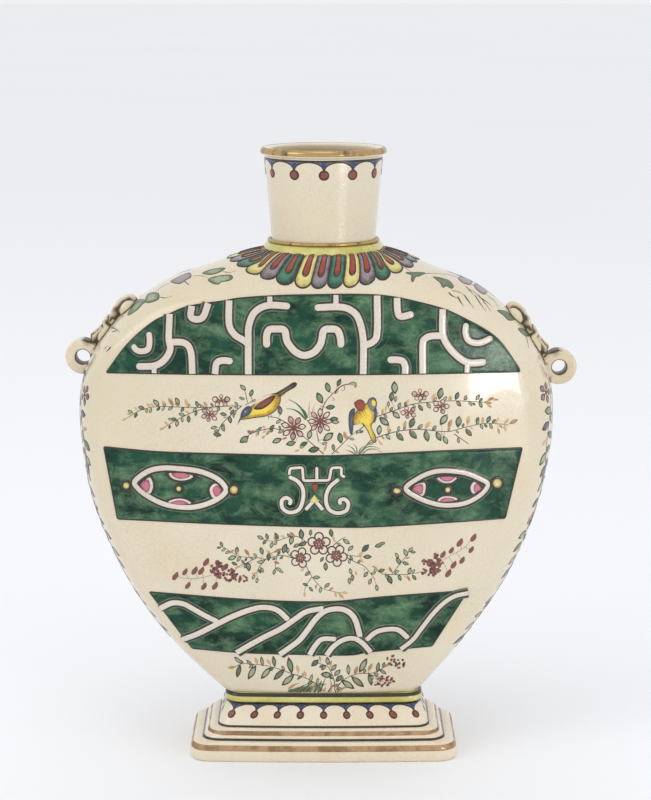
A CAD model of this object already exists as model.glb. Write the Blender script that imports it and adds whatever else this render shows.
import bpy, bmesh, math, random
from mathutils import Matrix, Vector, noise
from mathutils.bvhtree import BVHTree


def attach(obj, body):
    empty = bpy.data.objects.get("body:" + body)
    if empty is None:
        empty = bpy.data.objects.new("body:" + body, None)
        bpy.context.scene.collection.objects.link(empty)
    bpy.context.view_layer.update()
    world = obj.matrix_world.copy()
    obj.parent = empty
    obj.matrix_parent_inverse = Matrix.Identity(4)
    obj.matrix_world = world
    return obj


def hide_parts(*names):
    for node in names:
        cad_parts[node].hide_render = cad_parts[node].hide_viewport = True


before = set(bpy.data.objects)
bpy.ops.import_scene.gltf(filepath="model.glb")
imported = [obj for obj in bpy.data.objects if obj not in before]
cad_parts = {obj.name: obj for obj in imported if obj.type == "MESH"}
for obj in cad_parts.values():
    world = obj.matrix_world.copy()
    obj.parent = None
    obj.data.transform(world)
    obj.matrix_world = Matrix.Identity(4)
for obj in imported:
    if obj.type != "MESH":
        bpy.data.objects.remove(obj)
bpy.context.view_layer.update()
random.seed(7)
scene = bpy.context.scene
S = 0.001  # lengths are worked out in mm, and make() turns them into metres

# ------------------------------------------------ the body's named sizes, in mm
HALF_W, DEPTH, WALL = 108.8, 38.0, 5.0  # half the width, half the depth, the wall
SEAT_Z, MID_Z, FLOOR_Z = 235.2, 162.0, 30.0  # heights of the neck's seat, the widest line, the underside
SEAT_R, DIP, DIP_ARC = 27.0, 1.6, 28  # the seat's radius; how deep and how many degrees the ridge dips beside it
LOW_LEN, LOW_P, LOW_Q = 1.2424 * (MID_Z - FLOOR_Z), 2.1, 1.2  # the curve of the outline below the widest line
LEAN, LEAN_FADE = -3.4, 45.0  # the body sits to the left, and the height over which that comes in
SHIFT, SHIFT_FADE = -1.5, 25  # the same for the faces, on top of the body's
EDGE_IN, EDGE_FADE, DROP = 11.8, 30, 15.5  # the face's edge lies in from the seam and below the seat
ARCH_N, ARCH_TOP, FACE_W = 2.3, SEAT_Z - DROP, HALF_W - EDGE_IN + 0.3  # the arch over the face
CROWN, SIDE_F, TOP_F, BOT_F = 140.0, 16.3, 4.0, 18.0  # the face's fullest height, and its fall to the sides
ARC = 76.0  # degrees of the arc from the seam to the face


def sind(a):
    return math.sin(math.radians(a))


def cosd(a):
    return math.cos(math.radians(a))


def clamp(x):
    return min(1, max(0, x))


def off(z):
    """How far the middle of the body lies to the side at the height z."""
    return LEAN * (1 - 0.75 * max(0, 1 - (z - FLOOR_Z) / LEAN_FADE) ** 2)


def foff(z):
    """The same for the middle of its faces."""
    return off(z) + SHIFT * clamp((z - FLOOR_Z) / SHIFT_FADE)


def low_w(z):
    """Half the width below the widest line."""
    return HALF_W * (1 - max(0, (MID_Z - z) / LOW_LEN) ** LOW_P) ** (1 / LOW_Q)


def edge_low(z):
    """How far the face's edge lies in from the seam there."""
    return EDGE_IN * (1 - 0.5 * max(0, 1 - (z - FLOOR_Z) / EDGE_FADE) ** 2)


def face_y(x, z):
    """How far the face stands out, x from its middle and at the height z."""
    if z > CROWN:
        fall = TOP_F * ((z - CROWN) / (ARCH_TOP - CROWN)) ** 2
    else:
        fall = BOT_F * ((CROWN - z) / (CROWN - FLOOR_Z)) ** 2
    return DEPTH - SIDE_F * (x / FACE_W) ** 2 - fall


# ------------------------------------------------ seam line and face edge
NK, SH, FL, UN = 24, 48, 56, 12  # points along half the seam: at the neck, shoulder, flank and underside
HN = NK + SH + FL + UN
RING = 2 * HN


def start_a(s, r=SEAT_R):
    """The angle at which the shoulder of side s, 1 or -1, leaves the neck."""
    return math.degrees(math.asin((r - s * off(SEAT_Z)) / HALF_W))


def turn(i, s, r=SEAT_R):
    """The angle of point i of the shoulder."""
    return start_a(s, r) + (90 - start_a(s, r)) * (i - NK) / SH


def line_c(i, s, w):
    """Point i of the seam on side s, w mm below the skin."""
    r = SEAT_R - 0.2 * w
    if i <= NK:
        a = 90 * i / NK
        return Vector((s * r * sind(a), -r * cosd(a), SEAT_Z - w))
    if i <= NK + SH:
        a = turn(i, s, r)
        d = a - start_a(s, r)
        b = (SEAT_Z - w - MID_Z) / cosd(start_a(s, r))
        z = MID_Z + b * cosd(a) - (DIP * sind(180 * d / DIP_ARC) ** 2 if d < DIP_ARC else 0)
        return Vector((off(z) + s * (HALF_W - w) * sind(a), 0, z))
    if i <= NK + SH + FL:
        u = (i - NK - SH) / FL
        z = MID_Z - (MID_Z - FLOOR_Z - w) * u
        return Vector((off(z) + s * (low_w(z) - w * (1 + 0.3 * u * u)), 0, z))
    u, z = (HN - i) / UN, FLOOR_Z + w
    return Vector((off(z) + s * (low_w(z) - 1.3 * w) * u, 0, z))


def arch(a, s, w):
    """The arch over the face: x, z and the distance from the face's middle."""
    x = (FACE_W - w) * max(0, sind(a)) ** (2 / ARCH_N)
    z = MID_Z + (ARCH_TOP - w - MID_Z) * max(0, cosd(a)) ** (2 / ARCH_N)
    return foff(z) + s * x, z, x


def edge(i, s, w):
    """The point of the face's edge that goes with point i of the seam."""
    if i <= NK + SH:
        return arch(start_a(s) * i / NK if i < NK else min(90, turn(i, s)), s, w)
    z = line_c(i, s, w).z
    x = (low_w(z) - edge_low(z) - w) * min(1, (HN - i) / UN)
    return foff(z) + s * x, z, x


def loop_at(k):
    """Point k of the whole ring as a point of one half and its side."""
    return (k, 1) if k <= HN else (2 * HN - k, -1)


FACE_MID = FLOOR_Z + 0.516 * (ARCH_TOP - FLOOR_Z)
BAND = [j / 16 for j in range(17)]  # rows over the side band, as shares of its arc
FACE = [0.99, 0.98, 0.965, 0.95, 0.93] + [0.93 - 0.93 * j / 20 for j in range(1, 20)]  # shares of the way out
CREASE, REACH = len(BAND) - 0.5, 4  # where the band meets the face, and how many rows the fire softened each way


def skin(w):
    """Rows of points of the front half, from the seam to the face's middle."""
    rows = [[] for _ in range(len(BAND) + len(FACE))]
    for k in range(RING):
        i, s = loop_at(k)
        c, e = line_c(i, s, w), edge(i, s, w)
        fy = w - face_y(e[2], e[1])
        for j, t in enumerate(BAND):
            g = (1 - cosd(ARC * t)) / (1 - cosd(ARC))
            h = sind(ARC * t) / sind(ARC)
            rows[j].append(Vector((c.x + (e[0] - c.x) * g, c.y + (fy - c.y) * h, c.z + (e[1] - c.z) * g)))
        for j, p in enumerate(FACE):
            z = FACE_MID + p * (e[1] - FACE_MID)
            x = p * s * e[2]
            rows[len(BAND) + j].append(Vector((foff(z) + x, w - face_y(x, z), z)))
    return rows


def eased(rows):
    """The crease is fired soft, so the rows beside it are eased into each other."""
    for _ in range(5):
        new = [r[:] for r in rows]
        for j in range(len(BAND) - REACH, len(BAND) + REACH):
            u = 0.5 * (1 - abs(j - CREASE) / (REACH + 1))
            for k in range(RING):
                new[j][k] = rows[j][k].lerp((rows[j - 1][k] + rows[j + 1][k]) / 2, u)
        rows = new
    return rows


# ------------------------------------------------ meshes
def make(name, verts, faces, mat=None, scale=S):
    me = bpy.data.meshes.new(name)
    me.from_pydata([tuple(c * scale for c in v) for v in verts], [], faces)
    me.validate()
    me.polygons.foreach_set("use_smooth", [True] * len(me.polygons))
    me.update()
    ob = bpy.data.objects.new(name, me)
    scene.collection.objects.link(ob)
    if mat:
        me.materials.append(mat)
    return ob


def weld(ob, dist=2e-6):
    bm = bmesh.new()
    bm.from_mesh(ob.data)
    bmesh.ops.remove_doubles(bm, verts=bm.verts, dist=dist)
    bmesh.ops.dissolve_degenerate(bm, dist=1e-7, edges=bm.edges)
    bmesh.ops.recalc_face_normals(bm, faces=bm.faces)
    bm.to_mesh(ob.data)
    bm.free()
    return ob


def quads(rows, cols, base=0, ring=True, wrap=False, flip=False):
    """Faces between neighbouring rows of points: ring closes each row, wrap joins the last row to the first."""
    out = []
    for j in range(rows if wrap else rows - 1):
        a, b = base + j * cols, base + (j + 1) % rows * cols
        for i in range(cols if ring else cols - 1):
            k = (i + 1) % cols
            out.append((a + i, b + i, b + k, a + k) if flip else (a + i, a + k, b + k, b + i))
    return out


def capped(rows, cols, base=0):
    """Closed rows, and a fan from the last of them to the one point that follows it."""
    last = base + (rows - 1) * cols
    return quads(rows, cols, base) + [(last + k, last + (k + 1) % cols, last + cols) for k in range(cols)]


# ------------------------------------------------ materials
def linear(colour):
    """A colour as the eye reads it, 0 to 255, as the nodes take it."""
    return tuple((c / 255 / 12.92 if c < 10 else ((c / 255 + 0.055) / 1.055) ** 2.4) for c in colour) + (1,)


class Nodes:
    """A Principled material that is put together from a few node helpers."""

    def __init__(self, name, rough=0.3, **sockets):
        self.m = bpy.data.materials.new(name)
        self.m.use_nodes = True
        self.t = self.m.node_tree
        self.t.nodes.clear()
        out = self.t.nodes.new("ShaderNodeOutputMaterial")
        self.sh = self.t.nodes.new("ShaderNodeBsdfPrincipled")
        self.t.links.new(self.sh.outputs[0], out.inputs[0])
        self.co = self.t.nodes.new("ShaderNodeTexCoord").outputs["Object"]
        self.sh.inputs["Roughness"].default_value = rough
        for k, v in sockets.items():
            self.sh.inputs[k.replace("_", " ")].default_value = v

    def put(self, socket, value):
        if isinstance(value, bpy.types.NodeSocket):
            self.t.links.new(value, socket)
        else:
            socket.default_value = value

    def node(self, kind, ins=(), out=0, **props):
        n = self.t.nodes.new(kind)
        for k, v in props.items():
            setattr(n, k, v)
        for k, v in dict(ins).items():
            self.put(n.inputs[k], v)
        return n.outputs[out]

    def noise(self, scale, detail=4, rough=0.55, twist=0.0, co=None):
        return self.node("ShaderNodeTexNoise", {"Vector": co or self.co, "Scale": scale, "Detail": detail,
                                                "Roughness": rough, "Distortion": twist})

    def voronoi(self, scale, feature="DISTANCE_TO_EDGE", co=None):
        return self.node("ShaderNodeTexVoronoi", {"Vector": co or self.co, "Scale": scale}, feature=feature)

    def span(self, fac, a, b, lo=0.0, hi=1.0):
        return self.node("ShaderNodeMapRange", {0: fac, 1: a, 2: b, 3: lo, 4: hi})

    def mix(self, fac, a, b):
        """Mixes two colours; a plain one is three numbers from 0 to 255."""
        n = self.t.nodes.new("ShaderNodeMix")
        n.data_type = "RGBA"
        for s, v in ((0, fac), (6, a), (7, b)):
            self.put(n.inputs[s], linear(v) if isinstance(v, tuple) else v)
        return n.outputs[2]

    def math(self, op, a, b=0.0):
        return self.node("ShaderNodeMath", {0: a, 1: b}, operation=op)

    def warp(self, scale, amount):
        n = self.node("ShaderNodeTexNoise", {"Vector": self.co, "Scale": scale, "Detail": 2}, out=1)
        v = self.node("ShaderNodeVectorMath", {0: n, 1: (0.5, 0.5, 0.5)}, operation="SUBTRACT")
        v = self.node("ShaderNodeVectorMath", {0: v, 3: amount}, operation="SCALE")
        return self.node("ShaderNodeVectorMath", {0: self.co, 1: v}, operation="ADD")

    def bump(self, height, strength, dist, normal=None):
        ins = {"Height": height, "Strength": strength, "Distance": dist}
        if normal:
            ins["Normal"] = normal
        return self.node("ShaderNodeBump", ins)

    def tone(self):
        """The light and shade that a stroke was laid on with, kept on its points."""
        return self.node("ShaderNodeAttribute", out=2, attribute_name="tone")

    def done(self, color=None, rough=None, normal=None):
        for k, v in (("Base Color", color), ("Roughness", rough), ("Normal", normal)):
            if v is not None:
                self.put(self.sh.inputs[k], v)
        return self.m


def glaze(name, light, dark, tint, crack=0.35, rough=0.16):
    """Lead glaze over pale clay: soft clouds, a net of fine cracks, specks and a faint orange peel."""
    n = Nodes(name, rough, IOR=1.5, Coat_Weight=0.4, Coat_Roughness=0.03, Coat_IOR=1.5)
    cloud = n.span(n.noise(9, 4, 0.6, 0.6), 0.35, 0.68)
    col = n.mix(cloud, light, dark)
    warm = n.span(n.noise(28, 3, 0.6), 0.45, 0.75, 0, 0.55)
    col = n.mix(warm, col, tint)
    wco = n.warp(160, 0.0016)
    net = n.span(n.voronoi(520, co=wco), 0.0, 0.05, 1, 0)
    net2 = n.span(n.voronoi(210, co=wco), 0.0, 0.02, 1, 0)
    where = n.span(n.noise(24, 2), 0.4, 0.62)
    lines = n.math("MULTIPLY", n.math("MAXIMUM", net, net2), n.span(where, 0, 1, 0.35, 1))
    col = n.mix(n.math("MULTIPLY", lines, crack), col, (150, 122, 84))
    speck = n.span(n.voronoi(150, "F1"), 0.02, 0.06, 0.5, 0)
    pick = n.span(n.noise(60, 1), 0.62, 0.66)
    col = n.mix(n.math("MULTIPLY", speck, pick), col, (120, 92, 60))
    peel = n.noise(420, 2, 0.5)
    nrm = n.bump(peel, 0.06, 0.0004, n.bump(n.noise(45, 2), 0.12, 0.0012))
    nrm = n.bump(n.math("MULTIPLY", lines, -1), 0.1, 0.0002, nrm)
    return n.done(col, n.span(n.noise(70, 3), 0.3, 0.7, rough, rough + 0.1), nrm)


def enamel(name, deep, mid, pale, scale=1.0, coat=0.5, spec=0.5):
    """Thick coloured enamel that has pooled: mottled, with small pits."""
    n = Nodes(name, 0.14, IOR=1.5, Coat_Weight=coat, Coat_Roughness=0.04, Specular_IOR_Level=spec)
    flow = n.node("ShaderNodeMapping", {"Vector": n.co, "Scale": (0.8, 1, 1.25)})
    pool = n.span(n.noise(62 * scale, 5, 0.62, 0.5, flow), 0.33, 0.59)
    col = n.mix(pool, deep, mid)
    patch = n.span(n.noise(88 * scale, 5, 0.66, 0.35, flow), 0.45, 0.73)
    col = n.mix(patch, col, pale)
    fine = n.noise(900 * scale, 3, 0.6)
    col = n.mix(n.span(fine, 0.35, 0.65, 0, 0.35), col, deep)
    pits = n.span(n.voronoi(520 * scale, "F1"), 0.0, 0.25, 1, 0)
    nrm = n.bump(n.math("ADD", pool, n.math("MULTIPLY", pits, -0.5)), 0.25, 0.0005)
    return n.done(col, n.span(fine, 0.3, 0.7, 0.14, 0.3), nrm)


def paint(name, thick, thin):
    """Overglaze colour laid on with a brush."""
    n = Nodes(name, 0.22, IOR=1.5, Coat_Weight=0.25, Coat_Roughness=0.08)
    f = n.noise(420, 3, 0.6, 0.4)
    col = n.mix(n.span(n.math("ADD", f, n.tone()), 0.72, 1.28), thick, thin)
    return n.done(col, n.span(f, 0.3, 0.7, 0.22, 0.42), n.bump(n.noise(700, 2), 0.2, 0.0002))


def pooled(name, light, dark, brown):
    """Cream glaze over modelled clay: it has run thin on the ridges and lies brown in the grooves."""
    n = Nodes(name, 0.2, IOR=1.5, Coat_Weight=0.35, Coat_Roughness=0.08, Coat_IOR=1.5)
    col = n.mix(n.span(n.noise(60, 4, 0.6, 0.6), 0.35, 0.68), light, dark)
    f = n.noise(260, 4, 0.6, 0.5)
    deep = n.span(n.math("ADD", n.tone(), n.math("MULTIPLY", f, 0.5)), 0.42, 0.98)
    col = n.mix(n.math("MULTIPLY", deep, 0.92), col, brown)
    n.put(n.sh.inputs["Specular IOR Level"], n.span(deep, 0.3, 1, 0.5, 0.06))
    n.put(n.sh.inputs["Coat Weight"], n.span(deep, 0.2, 0.8, 0.35, 0))
    net = n.span(n.voronoi(300, co=n.warp(160, 0.0016)), 0.0, 0.04, 0.3, 0)
    col = n.mix(net, col, (150, 122, 84))
    return n.done(col, n.span(f, 0.3, 0.7, 0.16, 0.34), n.bump(n.noise(300, 3), 0.2, 0.0004))


def gilt(name, bright, brown, wear, metal):
    """Fired gold that the hand has rubbed: brown shows through in patches."""
    n = Nodes(name, 0.25, IOR=1.5)
    f = n.noise(120, 5, 0.65, 0.6)
    worn = n.span(f, wear, wear + 0.16)
    col = n.mix(worn, bright, brown)
    n.put(n.sh.inputs["Metallic"], n.span(worn, 0, 1, metal, 0.25 * metal))
    streak = n.noise(500, 3, 0.6)
    return n.done(col, n.span(n.math("ADD", streak, worn), 0.3, 1.6, 0.2, 0.5), n.bump(streak, 0.15, 0.0003))


CREAM = glaze("cream_crackle", (224, 214, 192), (214, 201, 172), (219, 200, 168), crack=0.2, rough=0.1)
FOOT = glaze("foot_crackle", (231, 220, 198), (220, 205, 176), (224, 202, 168), crack=0.18)
RELIEF = glaze("relief_white", (222, 214, 202), (206, 194, 178), (214, 202, 184), crack=0.3, rough=0.22)
GREEN = enamel("green_enamel", (0, 26, 24), (30, 80, 57), (114, 150, 112), coat=0.08, spec=0.2)
YELLOW = enamel("yellow_glaze", (176, 166, 70), (206, 200, 112), (226, 220, 150), scale=0.6)
GOLD = gilt("rubbed_gold", (186, 156, 104), (84, 62, 34), 0.5, 0.85)
GILT = gilt("brown_gilt", (182, 148, 112), (138, 108, 72), 0.42, 0.35)
DARK = paint("dark_line", (24, 19, 15), (52, 42, 30))
MASK = pooled("pooled_cream", (226, 214, 186), (204, 188, 154), (58, 42, 26))
INKS = {key: paint(name, thick, thin) for key, name, thick, thin in (
    ("white", "white_slip", (226, 214, 204), (238, 230, 220)),
    ("pink", "pink_enamel", (158, 120, 116), (220, 204, 188)),
    ("rose", "rose_enamel", (132, 52, 76), (192, 108, 128)),
    ("yellow", "yellow_enamel", (176, 156, 78), (218, 206, 134)),
    ("canary", "canary_yellow", (168, 124, 26), (232, 206, 70)),
    ("mauve", "mauve_enamel", (78, 68, 74), (142, 130, 132)),
    ("green", "leaf_green", (8, 58, 46), (62, 120, 92)),
    ("brick", "brick_red", (88, 28, 22), (148, 64, 42)),
    ("cobalt", "cobalt_blue", (24, 28, 84), (48, 56, 124)),
    ("slate", "grey_blue", (58, 68, 90), (112, 124, 142)),
    ("sage", "sage_leaf", (84, 104, 74), (156, 166, 132)),
    ("fern", "fern_leaf", (48, 90, 56), (112, 142, 98)),
    ("ochre", "ochre_leaf", (152, 112, 64), (196, 164, 116)),
    ("maroon", "maroon_enamel", (60, 24, 20), (126, 70, 60)),
    ("halo", "enamel_edge", (44, 84, 62), (108, 128, 92)),
    ("stem", "brown_stem", (36, 30, 24), (76, 64, 46)))}


def ready(ob, nodes=()):
    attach(ob, "root")
    if nodes:
        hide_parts(*nodes)


# ------------------------------------------------ the body
def wavy(p):
    """The press mould and the fire leave the wall a little uneven."""
    q = Vector((p.x, abs(p.y), p.z))
    return 0.35 * noise.noise(q / 38 + Vector((3, 1, 7))) + 0.12 * noise.noise(q / 13)


outer, inner = eased(skin(0)), skin(WALL)
mid = Vector((foff(FACE_MID), -face_y(0, FACE_MID), FACE_MID))
for k in range(RING):
    for j, row in enumerate(outer):
        p = row[k]
        x = p.x - off(p.z)
        if j < len(BAND) - REACH:
            nrm = Vector((x / HALF_W, p.y / DEPTH, (p.z - 150) / 90))
        else:
            nrm = Vector((0.6 * x / HALF_W, -1, 0.2))
        keep = clamp((math.hypot(p.x, p.y) - 29) / 12 if p.z > 215 else (p.z - 31) / 12)  # true at neck and foot
        row[k] = p + nrm.normalized() * (wavy(p) * keep)

verts, faces = [], []
for side in (1, -1):
    for rows, centre in ((outer, mid), (inner, mid + Vector((0, WALL, 0)))):
        base = len(verts)
        for r in rows:
            verts += [(p.x, side * p.y, p.z) for p in r]
        verts.append((centre.x, side * centre.y, centre.z))
        fs = capped(len(rows), RING, base)
        faces += fs if (side > 0) == (rows is outer) else [f[::-1] for f in fs]
    b_out = base - (len(outer) * RING + 1)
    for k in list(range(NK)) + list(range(RING - NK, RING)):  # the edge of the neck's hole joins both skins
        q = (k + 1) % RING
        f = (b_out + k, base + k, base + q, b_out + q)
        faces.append(f if side > 0 else f[::-1])
ready(weld(make("body_glaze", verts, faces, CREAM), 1e-6), ("front_shell", "back_shell"))

# the surface that ornament is laid on, in mm
skin_v = [p for r in outer for p in r] + [mid]
skin_f = capped(len(outer), RING)
tree = BVHTree.FromPolygons([tuple(p) for p in skin_v], skin_f)
vert_n = [Vector() for _ in skin_v]
for f in skin_f:
    a, b, c = (skin_v[i] for i in f[:3])
    n = (b - a).cross(c - a)
    for i in f:
        vert_n[i] += n
for k in range(RING):  # the seam: both halves share the row, so it has no depth there
    if NK <= loop_at(k)[0]:
        vert_n[k].y = 0
vert_n = [n.normalized() for n in vert_n]
if vert_n[-1].y > 0:
    vert_n = [-n for n in vert_n]


def smooth_n(p, f):
    """The normal at the point p of the face f, smooth over the faces."""
    n = Vector()
    for i in skin_f[f]:
        n += vert_n[i] / ((p - skin_v[i]).length + 0.02) ** 2
    return n.normalized()


# ------------------------------------------------ the camera
PHOTO_W, PHOTO_H, SENSOR = 651, 800, 36
TILT, FOCAL, CAM = 10.6, 2225.0, Vector((0.9, -1007, 353))  # degrees down; focal length in pixels; place in mm
cam = bpy.data.objects.new("camera", bpy.data.cameras.new("camera"))
scene.collection.objects.link(cam)
scene.camera = cam
cam.location = CAM * S
cam.rotation_euler = (math.radians(90 - TILT), 0, 0)
cam.data.lens, cam.data.sensor_width = FOCAL / PHOTO_H * SENSOR, SENSOR
cam.data.clip_start, cam.data.clip_end = 0.05, 60


def hit(u, v):
    """The point of the painted front that the photograph shows at pixel u, v, with its normal."""
    d = Vector((u - PHOTO_W / 2, 0, 0)) + Vector((0, sind(TILT), cosd(TILT))) * (PHOTO_H / 2 - v)
    d = (d + Vector((0, cosd(TILT), -sind(TILT))) * FOCAL).normalized()
    p, _, f, _ = tree.ray_cast(CAM, d)
    if p is None:  # just off the outline: the nearest point, about as far away
        p, _, f, _ = tree.find_nearest(CAM + d * 1020)
    return p, smooth_n(p, f)


# ------------------------------------------------ thrown and built pieces
def lathe(name, prof, mat, wob=0.002, n=160):
    """Turns a closed profile of radius and height, with a share wob out of true."""
    vs = []
    for i in range(n):
        a = 360 * i / n
        for r, z in prof:
            w = 1 + wob * noise.noise(Vector((2 * cosd(a), 2 * sind(a), z / 9)))
            vs.append((r * w * cosd(a), r * w * sind(a), z))
    return weld(make(name, vs, quads(n, len(prof), wrap=True, flip=True), mat))


def arc(cx, cz, r, a0, a1, n=10):
    return [(cx + r * cosd(a0 + (a1 - a0) * i / n), cz + r * sind(a0 + (a1 - a0) * i / n)) for i in range(n + 1)]


def ramp(a, b, n):
    return [tuple(p + (q - p) * i / n for p, q in zip(a, b)) for i in range(n + 1)]


bore = ramp((20, 230.2), (20, 235.2), 2) + ramp((20.2, 238), (23.75, 277), 14)
wallp = [(24.4, 277.6), (26, 277.6)] + ramp((26.7, 277.1), (23.95, 243), 14)
wallp += [(23.75, 241), (23.7, 239), (23.7, 236.2), (24.2, 235.3), (27.02, 235.22), (27.02, 230.2)]
ready(lathe("neck_glaze", bore + wallp, CREAM), ("neck",))
lip = arc(26.6, 279.0, 1.8, -100, 95, 16) + [(25.4, 280.72), (24.4, 280.4)] + arc(24.5, 279.6, 0.75, 120, 185, 5)
lip += [(23.78, 277.5), (24.2, 277.2)]
ready(lathe("lip_glaze", lip, CREAM), ("lip_ring",))
band = arc(26.6, 279.0, 1.92, -24, 80, 18) + arc(26.6, 279.0, 1.74, 80, -24, 10)
ready(lathe("lip_gold", band, GOLD), ())
roll = [(23.8, 235.3)] + arc(25.4, 236.65, 1.3, -90, 70, 12) + [(25.2, 238.05), (24.3, 238.25), (23.8, 238.3)]
collar = lathe("collar_yellow", roll, YELLOW, 0.003, 144)
for v in collar.data.vertices:  # the foot of the roll follows the shoulder down at the front and the back
    r, low = math.hypot(v.co.x, v.co.y), clamp((0.2372 - v.co.z) / 0.0019)
    if r > 0.0245:
        k = low * (0.3 + 0.7 * (v.co.y / r) ** 2)
        v.co.x, v.co.y, v.co.z = v.co.x * (1 + 0.12 * k), v.co.y * (1 + 0.12 * k), v.co.z - 0.0023 * k
ready(collar, ("neck_collar",))
ready(lathe("collar_gilt", arc(24.6, 238.95, 0.8, 0, 342, 18), GOLD, n=144), ("collar_bead",))


def rr_quarter(w, d, r, bow, cn=10, bn=14):
    """A quarter of a rounded rectangle, w and d to its sides, whose long sides bow out."""
    q = [(w - r + r * cosd(90 * k / cn), d - bow - r + r * sind(90 * k / cn)) for k in range(cn + 1)]
    for k in range(1, bn):
        x = (w - r) * (1 - k / bn)
        q.append((x, d - bow * (x / (w - r)) ** 2))
    return q


def rr(w, d, r, bow):
    q = rr_quarter(w, d, r, bow)
    q = q + [(0, d)] + [(-x, y) for x, y in q[::-1]]
    return q + [(x, -y) for x, y in q[::-1]]


def level(levels, z):
    """The level at the height z, between those given."""
    for a, b in zip(levels, levels[1:]):
        if a[0] <= z <= b[0]:
            t = (z - a[0]) / (b[0] - a[0])
            return [p + (q - p) * t for p, q in zip(a, b)]
    return levels[0] if z < levels[0][0] else levels[-1]


def uneven(x, y, z):
    return 0.12 * noise.noise(Vector((x, y, z)) / 14)


def tier(name, levels, mat, nodes):
    """A built tier of the foot; a level is its height, half width, half depth, corner radius and bow."""
    m = len(rr(*levels[0][1:]))
    vs = []
    for z, *shape in levels:
        for x, y in rr(*shape):
            w = uneven(x, y, z)
            vs.append((x + w, y + w * 0.6, z))
    ends = [list(range(m))[::-1], [(len(levels) - 1) * m + k for k in range(m)]]
    ready(weld(make(name, vs, quads(len(levels), m) + ends, mat)), nodes)


WAIST = [(25.1, 44.6, 19.6, 8, 1), (25.6, 45.2, 20.2, 8, 1), (26.3, 45.6, 20.6, 8, 1), (27.4, 45.8, 20.8, 8, 1),
         (28.6, 45.6, 20.6, 8, 1), (29.5, 45.2, 20.2, 8, 1), (30, 44.6, 19.6, 8, 1)]
FRIEZE = [(14.6, 49.2, 23.6, 7, 1.2), (15.4, 48.6, 23.2, 7, 1.2), (17.1, 48.1, 22.7, 7, 1.2),
          (20, 47.0, 21.7, 7.3, 1.1), (23, 45.7, 20.5, 7.7, 1), (25.1, 44.5, 19.5, 8, 1)]
STEP = [(9.3, 56.2, 27, 8, 1.2), (11, 54.9, 26.2, 8, 1.2), (12.6, 53.3, 25.5, 8, 1.2), (13.3, 52.7, 25.1, 8, 1.2),
        (13.9, 51.9, 24.7, 7.8, 1.2), (14.4, 50.9, 24.3, 7.5, 1.2), (14.6, 49.6, 23.8, 7, 1.2)]
PLINTH = [(0, 60.9, 29, 8.5, 1.4), (0.3, 61.5, 29.5, 8.8, 1.4), (0.9, 61.8, 29.8, 9, 1.4), (3.5, 61.7, 29.75, 9, 1.4),
          (5.9, 61.5, 29.6, 9, 1.4), (6.9, 61.1, 29.4, 9, 1.4), (7.7, 60.4, 29, 9, 1.4), (8.3, 59.5, 28.6, 9, 1.3),
          (8.8, 58.4, 28, 8.8, 1.3), (9.3, 56.8, 27.3, 8.2, 1.2)]
RECESS = [(9, 44.2, 14.2, 5, 0), (8.6, 44.8, 14.8, 5, 0), (0.5, 45, 15, 5, 0), (0, 45.6, 15.6, 5.4, 0)]
tier("waist_yellow", WAIST, YELLOW, ("waist_band",))
tier("frieze_glaze", FRIEZE, FOOT, ("foot_frieze",))
tier("step_glaze", STEP, FOOT, ("foot_step",))
tier("plinth_glaze", RECESS + PLINTH, FOOT, ("foot_plinth",))


# ------------------------------------------------ laid-on enamel and paint
class Ink:
    """Collects the strokes of one colour: one piece on the front and its twin on the back, or one all round."""

    all = []

    def __init__(self, name, mat, slot=None, nodes=(), twin=True):
        self.name, self.mat, self.slot, self.nodes, self.twin = name, mat, slot, nodes, twin
        self.v, self.f, self.t = [], [], []
        Ink.all.append(self)

    def add(self, vs, fs, tones=None):
        b = len(self.v)
        self.v += vs
        self.f += [tuple(i + b for i in f) for f in fs]
        self.t += tones or [0.5] * len(vs)

    def finish(self):
        for side, front in (("front_", 1), ("back_", -1)) if self.twin else (("", 1),):
            if not self.v:
                continue
            vs = [(x, y * front, z) for x, y, z in self.v]
            fs = self.f if front > 0 else [f[::-1] for f in self.f]
            ob = make(side + self.name, vs, fs, self.mat)
            toned(ob, self.t)
            ready(ob, [n for n in self.nodes if n.startswith(side)])


def toned(ob, tones):
    col = ob.data.color_attributes.new("tone", "FLOAT_COLOR", "POINT")
    col.data.foreach_set("color", [c for t in tones for c in (t, t, t, 1.0)])


def spline(pts, step=1.0, closed=False):
    """A smooth line through the points (Catmull-Rom), its points about step apart."""
    pts = [Vector(p) for p in pts]
    n = len(pts)
    out = []
    for i in range(n if closed else n - 1):
        a, b = pts[i], pts[(i + 1) % n]
        p = pts[i - 1] if closed or i else a * 2 - b
        q = pts[(i + 2) % n] if closed or i < n - 2 else b * 2 - a
        m = max(2, int((b - a).length / step + 0.5))
        for j in range(m):
            t = j / m
            out.append(0.5 * (2 * a + (b - p) * t + (2 * p - 5 * a + 4 * b - q) * t * t
                              + (3 * a - p - 3 * b + q) * t ** 3))
    return out if closed else out + [pts[-1]]


def bent(pts, r, step=1.0):
    """A line of straight runs whose corners have the radius r."""
    pts = [Vector(p) for p in pts]
    out = [pts[0]]
    for a, b, c in zip(pts, pts[1:], pts[2:]):
        u, w = (a - b), (c - b)
        k = min(r, 0.49 * u.length, 0.49 * w.length)
        s, e = b + u.normalized() * k, b + w.normalized() * k
        for j in range(7):
            t = j / 6
            out.append(s * (1 - t) ** 2 + b * 2 * t * (1 - t) + e * t * t)
    out.append(pts[-1])
    even = [out[0]]
    for a, b in zip(out, out[1:]):
        m = max(1, int((b - a).length / step + 0.5))
        even += [a.lerp(b, (j + 1) / m) for j in range(m)]
    return even


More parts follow.
